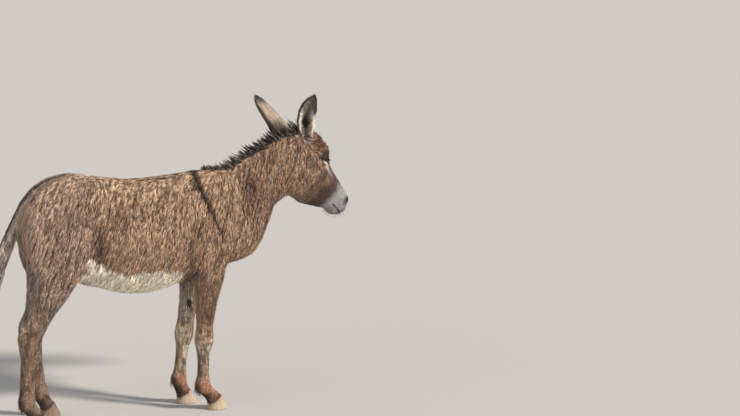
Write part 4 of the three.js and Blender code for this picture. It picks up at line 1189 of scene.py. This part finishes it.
coat_hair = hair("coat hair", **COAT_MATERIAL)
furred = 1 - is_face * smooth(hu, 0.160, 0.205)  # the muzzle has none
roots = Roots((~bare & ~in_ear) * furred)
shag, of_neck = roots.shaggy, roots.kind == "neck"
of_head = np.isin(roots.kind, ("head", "eye"))
of_leg = np.isin(roots.kind, LEG_KINDS)
of_body = np.isin(roots.kind, ("trunk", "thigh", "forearm", "gaskin"))
plant("coat_body", roots.only(of_body & shag), "coat", 4, per_clump=9, pull=0.55)
plant("coat_neck", roots.only((of_neck | of_head) & shag), "coat_neck", 2, per_clump=9, pull=0.55)
plant("coat_legs", roots.only((of_leg | of_body) & ~shag), "coat_leg", 2, joints=2, per_clump=10, pull=0.45)
plant("coat_head", roots.only((of_head | of_neck) & ~shag), "coat", 1, joints=2, per_clump=9, pull=0.45,
      uneven=0.2)
plant("coat_ears", roots.only(roots.kind == "ear"), "ear", 1, joints=2, per_clump=8, pull=0.3)
plant("coat_dock", roots.only(roots.kind == "tail_dock"), "coat", 1, per_clump=10, pull=0.5)

# ---- Hair inside the ears -----------------------------------------------------------------------------
# Long soft pale hair lines each ear and stands across its opening, leaving the hollow at the base bare over
# its painted shade.
roots = Roots((in_ear & (ear_height > 0.03)) * (1 - 0.96 * ear_hole(ear_height, ear_ahead)), 1.1)
roots.width = roots.width * 0.7
roots.length = roots.length * (1.4 + 0.6 * (1 - roots.ear_where[:, 2]))
roots.height = roots.height * 1.3 + 0.001
plant("ear_lining", roots, "ear", 1, per_clump=6, pull=0.3, fan=0.14, curl=0.06)

# ---- Lashes and whiskers ------------------------------------------------------------------------------
# Stiff dark lashes along the edge of each upper lid, and bristles that stand out round the lips and chin.
LASHES = 30
BRISTLE_FLATNESS = 0.8
LASH_LENGTH, LASH_DROOP = 0.012, 0.35
dark_hair = hair("dark hair", 0.8, 1.0, 0.45, 0.35, 0.1)
for side, (middle, axes) in eyes.items():
    t = np.linspace(-0.86, 0.80, LASHES) + chance.uniform(-0.02, 0.02, LASHES)
    x, y = t * SLIT_HALF, lid_lines(t)[0] + 0.10
    stalk = np.stack((x, y, np.sqrt(np.maximum(1 - x * x - y * y, 0.02))), 1)
    size = (LASH_LENGTH * (1 - 0.45 * np.abs(t)) * chance.uniform(0.8, 1.15, LASHES))[:, None]
    away = unit(stalk + t[:, None] * (0.25, 0, 0) + (0, 0.15, 0.35))
    root = stalk * (EYE_RADIUS + 0.0018)
    lines = np.stack([root + size * (away * s - (0, LASH_DROOP * s * s, 0)) for s in (0, 0.35, 0.7, 1)], 1)
    lines = middle + lines @ axes
    widths = np.tile((0.0009, 0.0008, 0.0005, 0.0), (LASHES, 1))
    patches = lay_flat(lines[:, 0], np.full(LASHES, flat_names.index("head")))
    ups, colours = np.tile(axes[1], (LASHES, 4, 1)), np.tile(NEAR_BLACK * 0.6, (LASHES, 1))
    grow(f"lashes_{side}", lines, ups, widths, colours, patches, BRISTLE_FLATNESS, "mane", dark_hair)

roots = Roots(is_face * ~bare * smooth(hu, 0.19, 0.24) * fade(hv, -0.085, -0.045), 0.05)
count = len(roots.place)
size = chance.uniform(0.010, 0.026, count)[:, None]
away = unit(roots.normal + 0.35 * roots.flow + 0.25 * chance.normal(size=(count, 3)))
lines = np.stack([roots.place + size * (away * s - (0, 0, 0.25 * s * s)) for s in (-0.1, 0.4, 0.75, 1)], 1)
widths = np.tile((0.0006, 0.0005, 0.0004, 0.0), (count, 1))
colours = np.where(chance.uniform(size=(count, 1)) < 0.5, PALE_GREY, NEAR_BLACK)
ups = np.repeat(roots.flow[:, None], 4, 1)
grow("whiskers", lines, ups, widths, colours, roots.patch, BRISTLE_FLATNESS, "mane", dark_hair)

# ---- Mane ---------------------------------------------------------------------------------------------
# A donkey's mane is short and stands up by itself. Stiff dark hair grows from the crest of the neck and
# between the ears, and gathers into points along its top.
MANE_SPACING, MANE_WIDTH, MANE_FLATNESS = 0.0033, 0.0021, 0.35
MANE_CLUMP = 9  # hairs to a point
MANE_GREY = paint(140, 120, 106)
MANE_REACH = 0.0165  # skin nearer than this to the solid mane grows it
CREST_SLICES = 11
mane_tree = tree_of(*shell_of("mane"))
close = surface.points[:, 2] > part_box("mane")[0].z - 0.03
gap = np.full(len(part), 1.0)
gap[close] = [mane_tree.find_nearest(Vector(p))[3] or 0 for p in surface.points[close].tolist()]
under_mane = (gap < MANE_REACH) & (normals[:, 2] > 0.2) & (kind != "ear")
crest, crest_normals = surface.points[under_mane], normals[under_mane]
slices = np.digitize(crest[:, 0], np.linspace(crest[:, 0].min(), crest[:, 0].max(), CREST_SLICES + 1)) - 1
crest_up = np.array([unit(crest_normals[slices == k].mean(0)) for k in range(CREST_SLICES)])
crest_line = np.array([crest[slices == k].mean(0) for k in range(CREST_SLICES)])
roots = Roots(under_mane.astype(float), apart=MANE_SPACING)
count = len(roots.place)
upright = follow(roots.place[:, 0], crest_line[:, 0], crest_up)
back = -unit(follow(roots.place[:, 0], crest_line[:, 0], np.gradient(crest_line, axis=0)))
rise = unit(upright + 0.16 * roots.normal + 0.46 * back)
# each hair is as tall as the solid mane over its root
tops = [mane_tree.ray_cast(Vector(p + 0.2 * d), Vector(-d))[3] for p, d in zip(roots.place, rise)]
tall = np.clip([0.2 - t if t is not None else 0.03 for t in tops], 0.022, 0.085)
mine = gathered(roots.place, MANE_CLUMP)
sway = chance.normal(size=(count, 3)) * 0.10
rise = unit(rise + sway[mine] + 0.25 * sway)
tall = (tall * chance.uniform(0.78, 1.06, count)[mine] * chance.uniform(0.70, 1.05, count))[:, None]
lines = []
for share, pull in ((0, 0), (0.28, 0.10), (0.56, 0.30), (0.80, 0.48), (1.0, 0.60)):
    own = roots.place - 0.002 * roots.normal + rise * (tall * share) + 0.16 * back * (tall * share**2)
    to_leader = own[mine] - own
    to_leader -= rise * dot(to_leader, rise)[:, None]
    lines.append(own + to_leader * pull)
lines = np.stack(lines, 1)
facing = unit(np.cross(rise, back) + chance.normal(size=(count, 3)) * 0.3)
widths = MANE_WIDTH * chance.uniform(0.7, 1.3, (count, 1)) * np.array((1.0, 1.1, 0.95, 0.6, 0))
tone = 1 + 0.35 * chance.uniform(-1, 1, count)[mine] + 0.2 * chance.uniform(-1, 1, count)
greyish = chance.uniform(size=count) * 0.6 + chance.uniform(size=count)[mine] * 0.4
greyish = smooth(greyish, 0.50, 0.85)[:, None]
colours = (NEAR_BLACK * (1 - greyish) + MANE_GREY * greyish) * tone[:, None]
ups = np.repeat(facing[:, None], 5, 1)
mane = grow("mane_hair", lines, ups, widths, colours, roots.patch, MANE_FLATNESS, "mane", dark_hair)
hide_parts("mane")

# ---- Tail ---------------------------------------------------------------------------------------------
# Below the dock the tail ends in a switch of long coarse hair, rooted round the end of the dock and
# hanging in locks, dark with a few pale strands.
TAIL_HAIRS, TAIL_WIDTH, TAIL_FLATNESS = 3000, 0.0022, 0.4
LOCK_TURN = 0.55  # round the tail, from one lock to the next
TAIL_FLAT = (0.940, 0.63, 0.05, 0.36)  # left, bottom, width and height of its strip of the flat
tail_points = np.concatenate([shell_of(name)[0] for name in ("tail_switch", "tail_dock")])
switch_low, switch_high = (c.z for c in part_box("tail_switch"))
tail_top = switch_high + 0.12
levels = np.linspace(switch_low, tail_top, 12)
in_row = [(tail_points[:, 2] >= a) & (tail_points[:, 2] <= b) for a, b in zip(levels[:-1], levels[1:])]
rows = [tail_points[mine] for mine in in_row if mine.sum() > 5]
tail_line = np.array([row.mean(0) for row in rows])
tail_girth = np.array([np.linalg.norm((row - row.mean(0))[:, :2], axis=1).mean() for row in rows])
start = tail_top - (tail_top - switch_low) * 0.66 * chance.uniform(0, 1, TAIL_HAIRS) ** 1.3
fall = (switch_high - switch_low) * chance.uniform(0.34, 0.58, TAIL_HAIRS)
end = np.maximum(start - fall, switch_low + 0.004 * chance.uniform(0, 1, TAIL_HAIRS))
turn = chance.uniform(0, math.tau, TAIL_HAIRS)
deep = np.sqrt(chance.uniform(0.15, 1.0, TAIL_HAIRS))
to_lock = np.round(turn / LOCK_TURN) * LOCK_TURN - turn
lines, outwards = [], []
for share in (0, 0.2, 0.45, 0.7, 0.88, 1.0):
    z = start + (end - start) * share
    girth = np.interp(z, tail_line[:, 2], tail_girth) * 0.92
    girth += 0.007 * smooth(z, switch_high - 0.12, switch_high - 0.01)
    angle = turn + to_lock * 0.6 * share + 0.3 * share * np.sin(3 * turn)
    out = girth * deep * (0.35 + 0.65 * smooth(share, 0, 0.35)) * (1 - 0.35 * share**3)
    aside = np.stack((out * np.cos(angle), out * np.sin(angle)), 1)
    lines.append(np.column_stack((follow(z, tail_line[:, 2], tail_line[:, :2]) + aside, z)))
    outwards.append(np.column_stack((aside, np.zeros(TAIL_HAIRS))))
widths = TAIL_WIDTH * chance.uniform(0.7, 1.3, (TAIL_HAIRS, 1)) * np.array((0.9, 1.1, 1.1, 0.9, 0.55, 0))
dark_back = smooth(-np.cos(turn), 0.3, 0.9)
pale_share = 0.06 + 0.80 * smooth(start, switch_high - 0.14, switch_high + 0.06)
pale = chance.uniform(size=TAIL_HAIRS) < pale_share * (1 - 0.8 * dark_back)
colours = np.where(pale[:, None], PALE_GREY * 0.75, NEAR_BLACK * 1.1)
colours = colours * chance.uniform(0.7, 1.3, (TAIL_HAIRS, 1))
left, bottom, wide, high = TAIL_FLAT
rooted = (start - switch_low) / (tail_top - switch_low)
patches = np.stack((left + wide * turn / 6.3, bottom + high * rooted), 1)
lines, ups = np.stack(lines, 1), unit(np.stack(outwards, 1) + 1e-4)
switch = grow("tail_hair", lines, ups, widths, colours, patches, TAIL_FLATNESS, "mane", dark_hair)
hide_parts("tail_switch")

# ---- Studio -------------------------------------------------------------------------------------------
# A plain pale floor and soft daylight lamps: a warm key high on the camera's right, a cool fill on its left
# and an even pale surround.
FLOOR_PAINT = (0.50, 0.475, 0.445)
SURROUND, SURROUND_STRENGTH = (0.86, 0.90, 0.96, 1), 0.50
bpy.ops.object.select_all(action="DESELECT")
bpy.ops.mesh.primitive_grid_add(x_subdivisions=2, y_subdivisions=2, size=600, location=(0, 0, -0.0005))
floor = bpy.context.object
floor.name = "floor"
bpy.ops.object.transform_apply(location=True, rotation=True, scale=True)
plaster, shader, place = material("pale floor", 0.8, 0.2)
place.plain(FLOOR_PAINT).times(0.96 + 0.08 * noise(place, 40, 3.0)).feeds(shader, "Base Color")
floor.data.materials.append(plaster)


def daylight(name, towards, softness, power, colour):
    made = bpy.data.lights.new(name, "SUN")
    made.angle, made.energy, made.color = softness, power, colour
    add_object(name, made).rotation_euler = Vector(towards).to_track_quat("Z", "Y").to_euler()


daylight("key", (0.58, -0.62, 0.53), 0.15, 4.6, (1.0, 0.955, 0.90))
daylight("fill", (-0.85, -0.35, 0.40), 0.9, 0.55, (0.90, 0.94, 1.0))
world = bpy.data.worlds.new("surround")
bpy.context.scene.world = world
world.use_nodes = True
world.node_tree.nodes["Background"].inputs[0].default_value = SURROUND
world.node_tree.nodes["Background"].inputs[1].default_value = SURROUND_STRENGTH
bpy.context.scene.view_settings.view_transform = "Standard"
